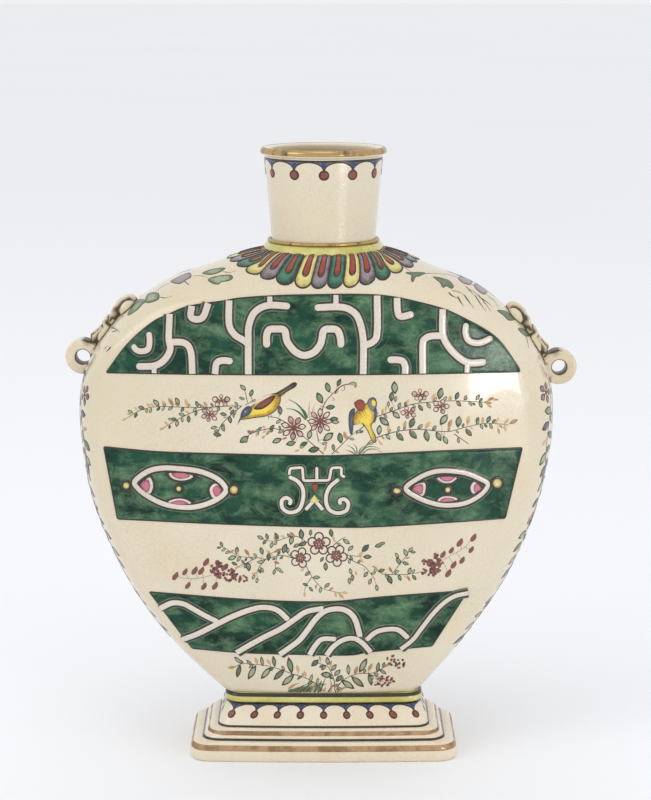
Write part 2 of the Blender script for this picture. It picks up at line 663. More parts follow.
# cross-sections of a stroke: shares of half its width, and of its height where above the ground
THIN = [(-1, -0.04), (0, 1), (1, -0.04)]
TABLE = [(-1, -0.04), (-0.94, 0.7), (-0.78, 1), (0.78, 1), (0.94, 0.7), (1, -0.04)]


def ribbon(ink, line, width, lift, base=0.0, prof=THIN, ends=(0, 0), closed=False, lay=hit, tone=0.5):
    """Lays a stroke along a drawn line. width is in mm, or a function of the share of the length.

    lay turns a point of the drawing into a point of the flask and its normal; an end of 1 is cut straight.
    """
    pn = [lay(*p) for p in line]
    keep = [0]
    for i in range(1, len(pn)):
        if (pn[i][0] - pn[keep[-1]][0]).length > 0.03:
            keep.append(i)
    pn = [pn[i] for i in keep]
    n = len(pn)
    if n < 2:
        return
    at = [0.0]
    for i in range(1, n):
        at.append(at[-1] + (pn[i][0] - pn[i - 1][0]).length)
    total = at[-1]
    wf = width if callable(width) else (lambda t: width)
    if not closed:  # more rows at the ends, so that they are round
        extra = []
        for e in (0.0, total):
            for k in (0.02, 0.1, 0.25, 0.5, 0.75):
                extra.append(abs(e - k * min(wf(0.5) / 2, total / 2)))
        marks = sorted({round(x, 5) for x in at + extra})
        new, i = [], 0
        for d in marks:
            while i < n - 2 and at[i + 1] < d:
                i += 1
            t = clamp((d - at[i]) / max(1e-6, at[i + 1] - at[i]))
            new.append((pn[i][0].lerp(pn[i + 1][0], t), pn[i][1].lerp(pn[i + 1][1], t).normalized()))
        pn, at, n = new, marks, len(new)
    vs = []
    for i in range(n):
        p, nn = pn[i]
        a = pn[(i - 1) % n if closed else max(0, i - 1)][0]
        b = pn[(i + 1) % n if closed else min(n - 1, i + 1)][0]
        side = (b - a).cross(nn).normalized()
        w = wf(at[i] / total if total else 0) / 2
        h = 1.0
        if not closed:
            d = min(at[i], total - at[i])
            r = max(1e-4, min(w, total / 2))
            if d < r and not ends[at[i] > total / 2]:
                k = math.sqrt(max(0, 1 - (1 - d / r) ** 2))
                w, h = w * max(0.02, k), max(0.05, k)
        for o, z in prof:
            y = base + lift * h * z if z > 0 else z
            vs.append(tuple(p + side * (o * w) + nn * y))
    ink.add(vs, quads(n, len(prof), ring=False, wrap=closed), [tone] * len(vs))


def outward(vs, fs, ring, n):
    """Turns the faces so that they look along n."""
    area = Vector()
    for i, j in zip(ring, ring[1:] + ring[:1]):
        area += Vector(vs[i]).cross(Vector(vs[j]))
    return fs if area.dot(n) > 0 else [f[::-1] for f in fs]


# rings of a filled shape, from its rim inwards: share of its size, height and tone
FILL = ((1, -0.04, 0.3), (0.8, 0.8, 0.6))
FULL = ((1, -0.04, 0.1), (0.93, 0.8, 0.25), (0.8, 1, 0.45), (0.6, 1, 0.75), (0.4, 1, 1), (0.2, 1, 1))


def blob(ink, outline, lift, base=0.0, lay=hit, rings=FILL, centre=None, shade=0.0):
    """Fills a closed outline that its centre can see all of."""
    pts = [Vector(p) for p in outline]
    c = Vector(centre) if centre else sum(pts, Vector((0,) * len(pts[0]))) / len(pts)
    vs, tones = [], []
    m = len(pts)
    for k, z, tone in rings:
        for q in pts:
            p, n = lay(*(c + (q - c) * k))
            vs.append(tuple(p + n * ((base + lift * z) if z > 0 else z)))
        tones += [tone + shade] * m
    p, n = lay(*c)
    vs.append(tuple(p + n * (base + lift)))
    tones.append(rings[-1][2] + shade)
    ink.add(vs, outward(vs, capped(len(rings), m), list(range(m)), n), tones)


def strip(ink, one, two, lift, base=0.0, lay=hit, steps=4, tones=(0.5, 0.5)):
    """Fills between two lines of as many points."""
    vs, tt = [], []
    m = len(one)
    for j in range(steps + 1):
        t = j / steps
        for a, b in zip(one, two):
            p, n = lay(*(Vector(a) + (Vector(b) - Vector(a)) * t))
            vs.append(tuple(p + n * (base + lift if 0 < j < steps else -0.03)))
            tt.append(tones[0] + (tones[1] - tones[0]) * t)
    ring = list(range(m)) + list(range(m * (steps + 1) - 1, m * steps - 1, -1))
    ink.add(vs, outward(vs, quads(steps + 1, m, ring=False), ring, n), tt)


def between(line, t):
    """Point at the share t of the length of a line."""
    d = [0.0]
    for a, b in zip(line, line[1:]):
        d.append(d[-1] + (b - a).length)
    x = t * d[-1]
    for i in range(len(line) - 1):
        if d[i + 1] >= x:
            return line[i].lerp(line[i + 1], (x - d[i]) / max(1e-9, d[i + 1] - d[i]))
    return line[-1]


def field(ink, top, bottom, lift, nu, nv):
    """A field of enamel between an upper and a lower line, with rounded rims, in nu by nv steps."""
    top, bottom = spline(top, 3), spline(bottom, 3)
    vs = []
    vv = [0, 0.012, 0.04] + [0.04 + 0.92 * j / nv for j in range(1, nv)] + [0.96, 0.988, 1]
    uu = [0, 0.002, 0.006] + [0.006 + 0.988 * j / nu for j in range(1, nu)] + [0.994, 0.998, 1]
    for iv, v in enumerate(vv):
        for iu, u in enumerate(uu):
            p, n = hit(*between(top, u).lerp(between(bottom, u), v))
            rim = min(iv, len(vv) - 1 - iv, iu, len(uu) - 1 - iu)
            h = (-0.05, 0.75, 1, 1)[min(3, rim)]
            vs.append(tuple(p + n * (h * lift if h > 0 else h)))
    ink.add(vs, quads(len(vv), len(uu), ring=False, flip=True))


def P(text):
    """The points of a text, such as "12,34.5 13,36"; those of the front are pixels of the photograph."""
    return [Vector(float(c) for c in p.split(",")) for p in text.split()]


def scaled(pts, k, shift=(0, 0)):
    c = sum(pts, Vector((0, 0))) / len(pts)
    return [c + (p - c) * k + Vector(shift) for p in pts]


FIELD_H = 0.45  # how thick the green enamel lies
ON = FIELD_H - 0.1  # where lines on it begin
TOP_ARC = P("106.5,372.4 127.7,344.3 151.8,323 167.9,315 188.6,306.6 225,301 240,298.4 275,296 310,295.1 358.7,294.7"
            " 393.9,297.3 437.9,307.6 462.8,317.9 495.1,336.9 515.6,363.3 520,371.4")
TOP_LOW = P("106.5,372.4 200,374 310,374.5 420,373.6 520,371.4")
MID_TOP = P("104,447 158.7,452 227.6,454.2 310,456 353.6,455.3 437.8,451.4 522,448")
MID_LOW = P("117.6,518.7 227.6,523.9 330,526.8 376.5,526.4 453,521.8 505,518")
LOW_TOP = P("149.6,592.1 249.3,599.8 325,602 384,597 467.7,590.7")
LOW_LOW = P("192.4,648.2 242.2,652.4 305,654.3 350,654.8 370,651.7 431.9,645.8")
BANDS = ((TOP_ARC, TOP_LOW), (MID_TOP, MID_LOW), (LOW_TOP, LOW_LOW))
BORDERS = [spline(line, 1) for band in (BANDS[0], BANDS[2]) for line in band]
for name, (top, bottom), nu, nv in zip(("top", "middle", "low"), BANDS, (150, 150, 120), (26, 26, 20)):
    field(Ink(name + "_enamel", GREEN, "green_enamel", (f"front_{name}_field", f"back_{name}_field")),
          top, bottom, FIELD_H, nu, nv)

dark = Ink("outlines", DARK)
white = Ink("raised_lines", RELIEF, "relief_glaze")
for band in BANDS:
    for line in band:
        ribbon(dark, spline(line, 2), 1.0, 0.55)
for top, bottom in BANDS[1:]:
    for e in (0, -1):
        ribbon(dark, spline([top[e], bottom[e]], 2), 1.0, 0.55)

# ------------------------------------------------ the inks of the ornament
SLOTS = {"white": "relief_glaze", "green": "green_enamel", "fern": "green_enamel", "yellow": "yellow_glaze"}


def ink_set(prefix, twin):
    return {k: Ink(prefix + k, m, SLOTS.get(k, "relief_glaze"), twin=twin) for k, m in INKS.items()}


ink, ring_ink = ink_set("paint_", True), ink_set("ring_", False)
ring_dark = Ink("ring_outlines", DARK, twin=False)
ring_gilt = Ink("ring_gilt", GILT, "gilding", twin=False)


def to_border(end, before):
    """Draws the end of a line out to the edge of its field if it comes near it, and says whether it did."""
    d = (end - before).normalized()
    gap, near = min(((q - end).length, i) for i, b in enumerate(BORDERS) for q in b[::2])
    if gap > 3.6:
        return end, 0

    def beside(q):  # how far q lies to the side of the line, and not behind its end
        return abs((q - end).cross(d)) + (0 if (q - end).dot(d) > -3 else 99)

    best = min(BORDERS[near], key=beside)
    return end + d * ((best - end).dot(d) - 0.3), 1


def raised(text, w, up=0.0, corner=None, closed=False):
    """A line of raised white slip with the dark edge it was drawn with; its free ends run on a little."""
    pts, ends, thick = P(text), [0, 0], w > 2
    if not closed and not corner:
        pts[0], ends[0] = to_border(pts[0], pts[1])
        pts[-1], ends[1] = to_border(pts[-1], pts[-2])
        for end, before in ((0, 1), (-1, -2)):
            if not ends[end]:
                pts[end] = pts[end] + (pts[end] - pts[before]).normalized() * (2.2 if thick else 0.4)
    line = bent(pts, corner) if corner else spline(pts, 1.3, closed)
    edge_w = w + (1.9 if thick else 1.3)
    for kind, wide, lift in ((ink["halo"], edge_w + 1, 0.13), (dark, edge_w, 0.24), (white, w, 0.36)):
        ribbon(kind, line, wide, lift, ON + up, TABLE, ends, closed)


# the top band: hooks, branching lines and the looped middle
for text in ("149.3,334 150,339.9 148.6,348.7 142.4,351.2 136.8,349.8 134.2,346.4",
             "465.8,325.2 465,332.5 468.7,340.6 479,342.8 490,338.4"):
    raised(text, 2.8)
for text in ("169.9,316.2 169.1,338.4 170.6,348.7 165.5,358.9 155.2,365.5 138.6,366.3",
             "170.6,342.1 184.5,342.8 191.1,351.6 192.6,373.4",
             "191.9,308 191.1,316.4 197,319.3 203.6,316.4 208,304.8",
             "229.3,301.5 229.3,323.7 234.4,334 243.2,339.9 248.4,343.5",
             "288,306.1 268.2,305.4 255,312 249.1,325.2 248.4,339.9 248.4,373.4",
             "316.8,307.6 339.6,306.9 351.3,310.5 358.7,319.3 363.1,339.9 363.1,373.4",
             "377,297.6 377,331.1 373.3,341.3 363.6,345.4", "389.5,359.7 401.2,360.4 404.9,366.3 404.9,372.4",
             "230.8,361.1 222.7,360.4 216.8,363.3 215.3,373.4", "396.8,298.4 397.6,312 401.2,316.4 411.4,314.2",
             "442.3,309.5 442.3,332.5 446.7,344.3 457,356 468.7,362.6 483.6,361.9",
             "441.4,335.7 431,336 425,338.6 422.5,344.6 422.5,372"):
    raised(text, 3.15)
for text in ("269.9,297.4 269.9,304.7", "335.9,295.8 335.9,304.7", "154.5,366.7 154.5,373.4",
             "467.2,363.3 466.5,372.2"):
    raised(text, 2.4)
raised("266.9,347.5 266.4,336 268.6,328.9 285.2,328.9 286.5,341.3 294.6,351.6 303.4,356 313.6,353.1 321,344.3"
       " 323.4,328.9 337.6,328.9 340.8,338.4 340.8,347.5", 3.3, 0.01, 4.5)

# the middle band: two almond rings with their four fillings, dots, and a lyre between them
raised("135.2,481.3 148.4,471.1 163.1,467.8 179.2,468.4 199.8,471.1 217.4,478.4 225.9,487.9 223.2,494.5 211.5,501.9"
       " 195.4,506.6 179.2,506.6 163.1,503.3 148.4,496 138.9,488.7", 2.45, closed=True)
raised("405.6,488.2 416.3,479 431.6,472.1 446.9,470.6 465.3,472.9 480.6,479 487.5,484.3 480.6,494.3 465.3,502.7"
       " 446.9,505 431.6,502.7 416.3,496.6", 2.2, closed=True)


def filling(pts, pink):
    """A white segment of a ring, pink towards the side that pink points to."""
    ring = spline(pts, 1.0, True)
    ribbon(dark, ring, 1.0, 0.26, ON, TABLE, closed=True)
    blob(white, scaled(ring, 0.86), 0.3, ON, rings=FULL)
    flush = scaled(ring, 0.66, pink)
    blob(ink["rose"], flush, 0.12, FIELD_H + 0.14, rings=FULL)
    ribbon(ink["maroon"], flush, 0.24, 0.16, FIELD_H + 0.12, closed=True)


# measured in two enlarged crops: the left edge of each, how much it was enlarged, and its four fillings
CROP_TOP = 430
for left, zoom, parts in (
        (100, 6.817, (("345,310 368,350 370,400 345,445 300,420 265,375 300,335", (-1.6, 0)),
                      ("775,355 740,400 765,470 810,460 838,410 815,365", (2, 0)),
                      ("455,290 480,330 550,350 620,340 655,315 600,290 520,285", (0, -1)),
                      ("450,490 500,465 550,460 600,470 640,500 550,510", (0, 1)))),
        (300, 6.533, (("820,335 825,400 800,440 740,405 725,385 750,350", (-1.4, 0)),
                      ("1130,330 1105,370 1120,420 1160,410 1185,380 1160,345", (2, 0)),
                      ("880,310 920,345 980,350 1020,330 1035,308 960,300", (0, -1)),
                      ("885,465 910,435 960,425 1020,435 1040,455 960,468", (0, 1))))):
    for text, pink in parts:
        filling([Vector((left + p.x / zoom, CROP_TOP + p.y / zoom)) for p in P(text)], pink)


def circle(x, y, r, ry=None, n=20):
    return [Vector((x + r * cosd(360 * k / n), y + (ry or r) * sind(360 * k / n))) for k in range(n)]


# yellow dots with a dark edge and a light
for x, y, r, ry in ((179.2, 488.4, 3.3, 3.3), (126.8, 485.2, 4, 4), (234.2, 489.4, 4.8, 4.8),
                    (447.4, 489.4, 3.4, 3.4), (396.7, 490.5, 4.6, 3.4), (496.7, 482.8, 5.4, 5.2)):
    ribbon(dark, circle(x, y, r, ry), 1.7, 0.42, ON, TABLE, closed=True)
    blob(ink["yellow"], circle(x, y, r - 0.7, ry - 0.7), 0.55, ON, rings=FULL, shade=-0.3)
    blob(white, circle(x - 0.3 * r, y - 0.3 * r, r * 0.3, n=10), 0.06, ON + 0.5)

raised("289.2,474.7 290,468.2 302.4,467.2 303.4,480.5 329.1,480 331.4,467.7 341.3,467.2 341.2,475.4 345,476.7", 1.25,
       corner=2.2)
raised("316.8,467.2 316.8,479.4", 1.4)
raised("289.2,476.6 298,481.3 303.2,490.1 302.4,501.9 298,509.9 289.2,512.1 282.6,507.7 281.9,500.4 286.3,497.5"
       " 290.7,500.4 289.2,504.4", 1.8)
raised("338.7,479 329.6,487 325.9,497.4 328.3,508.1 336.7,512.7 345.9,510.4 348.2,503.5 344.4,498.9 339.6,500.4"
       " 340.6,504", 1.8)
blob(ink["brick"], circle(315, 486.6, 3.2, 3.9), 0.36, ON, rings=FULL)
raised("305.4,509.8 314.5,499.4 323,509.8", 1.7, corner=2)
blob(ink["yellow"], P("314.5,494.4 319.6,500.6 314.6,502.6 309.2,500.8"), 0.2, FIELD_H + 0.3, rings=FULL)

# the low band: waves, the later drawn over the earlier
for n, (text, w) in enumerate((
        ("161.6,607.5 172.1,602.6 183.3,603.3 193.1,608.2 204.4,614.6 217,620.9", 2.9),
        ("184,638.4 197.4,633.5 214.2,625.1 231,616.7 249.3,609.6 263.3,606.8 277.3,609.6 287.4,618.6", 2.9),
        ("237.3,651.7 249.3,644.7 264.7,636.3 281.5,627.9 295.6,618.1 306.8,611 322.2,608", 2.9),
        ("281.5,652.6 291,646 300,638.9 308,628.7 316.4,617.6 325.9,610.3 337.9,608.2 348,611 355.2,619.5"
         " 359.6,634.9", 2.9),
        ("310.5,652.6 315.4,644.7 322.4,638.4 334.3,638.4", 2.7),
        ("328.1,652.4 333.7,645.4 343.5,639.1 353.3,637.7 361.7,641.9 369.5,650.3", 2.7),
        ("367.3,638.4 375.8,631.4 387,628.6 398.2,629.3 406.6,636.3", 2.7),
        ("401,648 412.3,639.1 422.1,626.5 431.9,613.9 443.1,602.6 454.3,595.6 466,592.8", 2.4))):
    raised(text, w * 0.94, 0.03 * n)

# ------------------------------------------------ petals round the collar
LAP_C = Vector((0, 0, 212))  # rays from here, at these angles up, find the shoulder from the collar outwards
LAP_E = [40.3 - e for e in range(36)]
LAP = {}


def lap_column(k):
    """The shoulder at the bearing k from the front: distance from the collar, point and normal."""
    if k not in LAP:
        col, d = [], 0.0
        m = -1 if cosd(k) < 0 else 1
        for e in LAP_E:
            q = Vector((sind(k) * cosd(e), -max(1e-3, abs(cosd(k)) * cosd(e)), sind(e)))
            p, _, f, _ = tree.ray_cast(LAP_C, q)
            n = smooth_n(p, f)
            if col:
                d += (p - Vector((col[-1][1].x, col[-1][1].y * m, col[-1][1].z))).length
            col.append((d, Vector((p.x, p.y * m, p.z)), Vector((n.x, n.y * m, n.z))))
        LAP[k] = col
    return LAP[k]


def lap(th, s):
    """The shoulder at the bearing th from the front, s mm out from the collar."""
    out = []
    k = math.floor(th)
    for col in (lap_column(k % 360), lap_column((k + 1) % 360)):
        i = 0
        while i < len(col) - 2 and col[i + 1][0] < s:
            i += 1
        t = (s - col[i][0]) / (col[i + 1][0] - col[i][0])
        out.append((col[i][1].lerp(col[i + 1][1], t), col[i][2].lerp(col[i + 1][2], t)))
    return out[0][0].lerp(out[1][0], th - k), out[0][1].lerp(out[1][1], th - k).normalized()


def tongue(th, w0, w1, length, tip):
    """Outline of a petal or its tongue: straight sides and a round end; it starts under the collar."""
    start, n = -0.4, 9
    side = [(start + (length - tip - start) * i / 8, w0 + (w1 - w0) * i / 8) for i in range(9)]
    out = [Vector((th - w, s)) for s, w in side]
    out += [Vector((th - w1 * cosd(180 * i / n), length - tip + tip * sind(180 * i / n))) for i in range(1, n)]
    return out + [Vector((th + w, s)) for s, w in side[::-1]]


def leaning(pts, lean):
    return [Vector((p[0] - lean * p[1], p[1])) for p in pts]


for k in range(30):
    th, length = 2 + 12 * k + random.uniform(-0.5, 0.5), 16.8 + random.uniform(-0.5, 0.5)
    lean = 6.3 / length
    kind = ("mauve", "green", "yellow")[k % 3]
    petal = leaning(tongue(th, 5.5, 5.9, length, 3.8), lean)
    blob(ring_ink[kind], petal, 0.2, 0.06, lap, FULL, leaning([(th, length * 0.52)], lean)[0])
    ribbon(ring_dark, petal[1:-1], 1.05, 0.36, 0.04, lay=lap)
    red = leaning(tongue(th, 1.7, 2.5, length * 0.7, 2.2), lean)
    blob(ring_ink["brick"], red, 0.2, 0.2, lap, FULL, leaning([(th, length * 0.36)], lean)[0])
    ribbon(ring_dark, red[1:-1], 0.85, 0.34, 0.24, lay=lap)


# ------------------------------------------------ pendants under the rim and round the foot
def neck_at(a, z):
    """The neck at the bearing a from the front."""
    r = 23.95 + (26.7 - 23.95) * (z - 243) / (277.1 - 243) + 0.02
    n = Vector((sind(a), -cosd(a), -0.08))
    return Vector((r * sind(a), -r * cosd(a), z)), n.normalized()


def pendants(at, count, pitch, stray, line_z, apex_z, drop, size, squash):
    """Blue spandrels between arches, each ending in a red drop; at() takes a place along and a height."""
    h, w = line_z - apex_z, pitch * 0.11
    for a0 in [pitch * k + (random.uniform(-stray, stray) if stray else 0) for k in range(count)]:
        for side in (-1, 1):
            low, top = [], []
            for j in range(13):
                t = j / 12
                x = a0 + side * (pitch / 2 * t)
                low.append(Vector((x, apex_z + h * math.sqrt(1 - (1 - t) ** 2))))
                top.append(Vector((x, line_z)))
            strip(ring_ink["slate"], low, top, 0.09, 0, at, 4, (0.0, 0.7))
            ribbon(ring_dark, low, 0.85, 0.17, lay=at)
        heart = [(a0, apex_z + 0.22 * h), (a0 + 0.55 * w, apex_z + 0.62 * h), (a0 + w, line_z - 0.07 * h),
                 (a0, line_z - 0.1 * h), (a0 - w, line_z - 0.07 * h), (a0 - 0.55 * w, apex_z + 0.62 * h)]
        blob(ring_ink["cobalt"], heart, 0.1, 0.09, at, centre=(a0, apex_z + 0.68 * h))
        k = random.uniform(0.92, 1.08)
        out = [Vector((a0 + size * k * squash * cosd(20 * i), drop + size * k * sind(20 * i))) for i in range(18)]
        blob(ring_ink["brick"], out, 0.13, 0.02, at, FULL)
        ribbon(ring_dark, out, 1.1, 0.18, 0.02, closed=True, lay=at)
        blob(ring_ink["maroon"], scaled(out, 0.4), 0.04, 0.14, at)


def round_line(paint_ink, at, total, z, width, lift, step=1):
    """A line all the way round at the height z."""
    n = int(total / step)
    ribbon(paint_ink, [Vector((total * i / n, z)) for i in range(n)], width, lift, closed=True, lay=at)


DEG_MM = 180 / math.pi / 26.5  # degrees round the neck in a millimetre
pendants(neck_at, 12, 30, 0.8, 275.7, 271.7, 269.9, 1.75, 1.08 * DEG_MM)
round_line(ring_dark, neck_at, 360, 275.9, 1.25, 0.18, 2)


def tier_at(levels, level_z):
    """Maps a distance along the edge of a tier, from the middle of its front, and a height to its surface."""
    def place(u, z):
        pts = rr(*level(levels, z)[1:])
        i = math.floor(u) % len(pts)
        a, b = Vector(pts[i]), Vector(pts[(i + 1) % len(pts)])
        return a.lerp(b, u - math.floor(u))

    ref = rr(*level(levels, level_z)[1:])
    m = len(ref)
    first = max(range(m), key=lambda i: (-ref[i][1], -abs(ref[i][0])))
    marks = [0.0]
    for i in range(m):
        a, b = Vector(ref[(first + i) % m]), Vector(ref[(first + i + 1) % m])
        marks.append(marks[-1] + (b - a).length)
    total = marks[-1]

    def at(s, z):
        s = s % total
        i = 0
        while i < m - 1 and marks[i + 1] < s:
            i += 1
        u = first + i + (s - marks[i]) / max(1e-6, marks[i + 1] - marks[i])
        q = place(u, z)
        w = uneven(q.x, q.y, z)
        dz = place(u, z + 0.3) - place(u, z - 0.3)
        along = (place(u + 0.3, z) - place(u - 0.3, z)).normalized()
        n = Vector((along.x, along.y, 0)).cross(Vector((dz.x, dz.y, 0.6))).normalized()
        if n.x * q.x + n.y * q.y < 0:
            n = -n
        return Vector((q.x + w, q.y + w * 0.6, z)), n

    return at, total


on_waist, waist_len = tier_at(WAIST, 27.4)
on_frieze, frieze_len = tier_at(FRIEZE, 20)
on_step, step_len = tier_at(STEP, 12)
on_plinth, plinth_len = tier_at(PLINTH, 5)
DROPS = 24
pendants(on_frieze, DROPS, frieze_len / DROPS, 0, 24.6, 21.7, 20.2, 1.38, 1.0)
for paint_ink, at, total, z, width, lift in ((ring_dark, on_waist, waist_len, 29.3, 1.8, 0.4),
                                             (ring_dark, on_waist, waist_len, 25.5, 1.1, 0.3),
                                             (ring_dark, on_frieze, frieze_len, 24.7, 1.2, 0.3),
                                             (ring_dark, on_frieze, frieze_len, 14.9, 1.6, 0.3),
                                             (ring_gilt, on_step, step_len, 12.5, 2.2, 0.16),
                                             (ring_dark, on_step, step_len, 9.6, 1.8, 0.3)):
    round_line(paint_ink, at, total, z, width, lift)
line = [Vector((plinth_len * i / 260, 0)) for i in range(261)]
strip(ring_gilt, [p + Vector((0, 7.9)) for p in line], [p + Vector((0, 5.0)) for p in line], 0.1, 0, on_plinth, 6)


# ------------------------------------------------ sprays, birds and berries between the bands
def heading(d):
    """The angle of a direction on the photograph, where y runs down."""
    return math.degrees(math.atan2(-d.y, d.x))


def almond(x, y, size, ang, wide):
    c, s = cosd(ang), -sind(ang)
    one = [(-1 + i / 4, wide * (1 - (-1 + i / 4) ** 2)) for i in range(9)]
    pts = one + [(u, -v) for u, v in one[7:0:-1]]
    return [Vector((x + size / 2 * (u * c - v * s), y + size / 2 * (u * s + v * c))) for u, v in pts]


def leaf(kind, x, y, size, ang, wide=0.52, lay=hit, inks=ink):
    """A leaf with a drawn edge; ochre ones are only a touch of the brush."""
    touch = kind == "ochre"
    pts = almond(x, y, size * (1.1 if touch else 1.24), ang, 0.4 if touch else wide)
    if not touch:
        blob(inks["stem"], pts, 0.06, lay=lay, shade=random.uniform(-0.3, 0.1))
        pts = scaled(pts, 0.66)
    blob(inks[kind], pts, 0.07, 0.05, lay, shade=random.uniform(-0.4, 0.5))
    if size > 6 and not touch:
        c, s = size * 0.3 * cosd(ang), size * 0.3 * -sind(ang)
        ribbon(inks["stem"], [Vector((x - c, y - s)), Vector((x + c, y + s))], 0.14, 0.05, 0.1, lay=lay)


def twig(stems, width=0.3, lay=hit, inks=ink, step=1.5, grow=1.0, wide=0.52, gap=0, **leaves):
    """Stems with the leaves that grow from them: each leaf is x,y or x,y,size and turns away from its stem.

    grow and wide make the leaves larger and broader; a gap, in pixels, adds small leaves along the stems.
    """
    lines = [spline(P(s) if isinstance(s, str) else s, step) for s in stems]
    for line in lines:
        ribbon(inks["stem"], line, lambda t: width * (1.5 - 0.6 * t), 0.12, lay=lay)
    flat = [(line, i) for line in lines for i in range(len(line))]
    for kind, text in leaves.items():
        for item in text.split():
            v = [float(c) for c in item.split(",")]
            p = Vector(v[:2])
            line, i = min(flat, key=lambda q: (q[0][q[1]] - p).length)
            d = p - line[i]
            along = line[min(i + 2, len(line) - 1)] - line[max(0, i - 2)]
            if d.length > 0.3 * step and along.length > 1e-6:
                d = d.normalized() + 0.55 * along.normalized()
            else:
                d = along
            size = (v[2] if len(v) > 2 else 5.6) * grow * random.uniform(0.9, 1.1)
            ang = heading(d) + random.uniform(-10, 10)
            leaf(kind, p.x, p.y, size, ang, wide, lay, inks)
            if 1.6 * size > (p - line[i]).length > size * 0.5:
                base = p - Vector((cosd(ang), -sind(ang))) * size * 0.4
                ribbon(inks["stem"], [line[max(0, i - 1)], base], 0.22, 0.08, lay=lay)
    for line in lines if gap else ():
        for k, i in enumerate(range(3, len(line) - 2, max(1, round(gap / step)))):
            along = (line[i + 1] - line[i - 1]).normalized()
            out = Vector((along.y, -along.x)) * (1 if k % 2 else -1)
            p = line[i] + out * 2.3 + along * 0.8
            ang = heading(out + 0.8 * along) + random.uniform(-14, 14)
            kind = ("sage", "fern", "ochre", "sage")[k % 4]
            leaf(kind, p.x, p.y, random.uniform(3.2, 4.4) * grow, ang, 0.56, lay, inks)


def flower(x, y, r, n, turn, fill, squash=1.0, lay=hit, inks=ink):
    """A flower of n pointed petals, each with three brown strokes from the heart."""
    middle = Vector((x, y))
    for k in range(n):
        a = turn + 360 * k / n
        d, w = Vector((cosd(a), -sind(a) * squash)), 0.62 * r * sind(180 / n)
        long = r * random.uniform(0.42, 0.5)
        side = Vector((-d.y, d.x)) * w
        c = middle + d * (r * 0.16 + long)
        out = [c + d * (-long + long * i / 4) + side * (math.sin(math.pi * (i / 8) ** 1.15) ** 0.8 * m)
               for m in (1, -1) for i in (range(9) if m > 0 else range(7, 0, -1))]
        blob(inks["maroon"], out, 0.07, lay=lay, shade=random.uniform(-0.3, 0.2))
        blob(inks[fill], scaled(out, 0.64, d * r * 0.04), 0.08, 0.05, lay, shade=random.uniform(-0.3, 0.4))
        for turn_by, far in ((-9, 0.55), (0, 0.72), (9, 0.55)):
            e = Vector((cosd(a + turn_by), -sind(a + turn_by) * squash))
            ribbon(inks["maroon"], [middle, middle + e * r * far], lambda t: 0.1 * r * (1 - 0.75 * t), 0.07, 0.11,
                   lay=lay, tone=0.7)
    blob(inks["maroon"], circle(x, y, r * 0.17, n=10), 0.1, 0.12, lay)


def blossom(x, y, r, turn):
    """A round five-petalled blossom with a brown patch on each petal and a brown heart."""
    for k in range(5):
        a = turn + 72 * k
        c = Vector((x + 0.58 * r * cosd(a), y - 0.58 * r * sind(a)))
        out = circle(c.x, c.y, 0.44 * r, n=14)
        blob(ink["stem"], out, 0.07)
        blob(ink["pink"], scaled(out, 0.74), 0.08, 0.05, shade=0.3)
        blob(ink["maroon"], scaled(out, 0.42, (-0.22 * r * cosd(a), 0.22 * r * sind(a))), 0.04, 0.13, shade=0.9)
        ribbon(ink["maroon"], [Vector((x, y)), c], lambda t: 0.4 * (1 - 0.6 * t), 0.06, 0.14)
    blob(ink["maroon"], circle(x, y, 0.2 * r, n=10), 0.08, 0.16, shade=0.1)
    blob(ink["ochre"], circle(x, y, 0.09 * r, n=8), 0.05, 0.24)


def strokes(kind, text, width, lift=0.1, base=0.0, tone=0.5):
    """Brush strokes that swell and run out, one for each part of the text between bars."""
    for part in text.split("|"):
        ribbon(ink[kind], spline(P(part), 1.2),
               lambda t: width * (0.35 + 0.65 * math.sin(math.pi * min(1, 0.2 + t))), lift, base, tone=tone)


def drawn(kind, text, lift=0.1, base=0.05, shade=0.0, edge_w=0.0):
    """A drawn patch, with a dark outline where edge_w is given."""
    pts = spline(P(text), 1.5, True)
    blob(ink[kind], pts, lift, base, rings=FULL, shade=shade)
    if edge_w:
        ribbon(ink["stem"], pts, edge_w, lift + 0.04, base, closed=True, tone=0.1)


# first row, left: a long twig, two small flowers and a bird that leans down from it
twig(("241.8,405.9 225,406.2 208,407.4 186,407.4 156.7,406.6 139.1,411 127,418",), 0.34, grow=1.25, gap=6.5,
     sage="130.3,411.6,4.6 142,407.8,5 156.2,402.8,6 177.4,401.2,6.4 197,404,5.4 135,416,3.4 150.6,410.6,4.4"
     " 170.6,408,4.4 163.2,409,3.6 232,412,4.6",
     ochre="124.4,419.4,4.8 135.6,408.4,3.4 148.6,405.4,4.4 163.4,402.6,4.8 171,402,7 186.6,403,7.4 205.6,404.6,5.6"
     " 232.6,405.9,5.6 190,406.4,4")
twig(("208,407.4 190.4,413.2 175.7,420.6 164,427.6",), 0.34, grow=1.25, gap=7,
     sage="181.8,414.6,5 188.6,419,5.6 177,423.4,5.4 170.4,419.4,4",
     ochre="162.4,428.4,5.6 166.6,423.4,4.6 183,418.6,4.4 171.6,421.6,4")
twig(("241.8,405.9 231.5,414.7 221.2,425 216.8,438.2",), 0.36, grow=1.15, gap=8,
     sage="223.4,414.2,5.6 213.8,427.6,5.2 223,428.2,5.6 217.2,434.6,7 230,419.6,6.4 235,412.4,4.6")
twig(("245.4,405 252,400.6 250,394", "247.6,402.6 245.4,393 243.4,388"), 0.3,
     sage="243,387.6,8 241.8,398.4,6 254,400.6,4.6",
     fern="251.4,393,8")
twig(("284,431.6 274,428.6 262,430 250,434.4 242,441",), 0.36, grow=1.2, gap=7, ochre="257,434,5 268,432.6,5")
flower(221.2, 400.6, 9.6, 5, 90, "pink", 0.66)
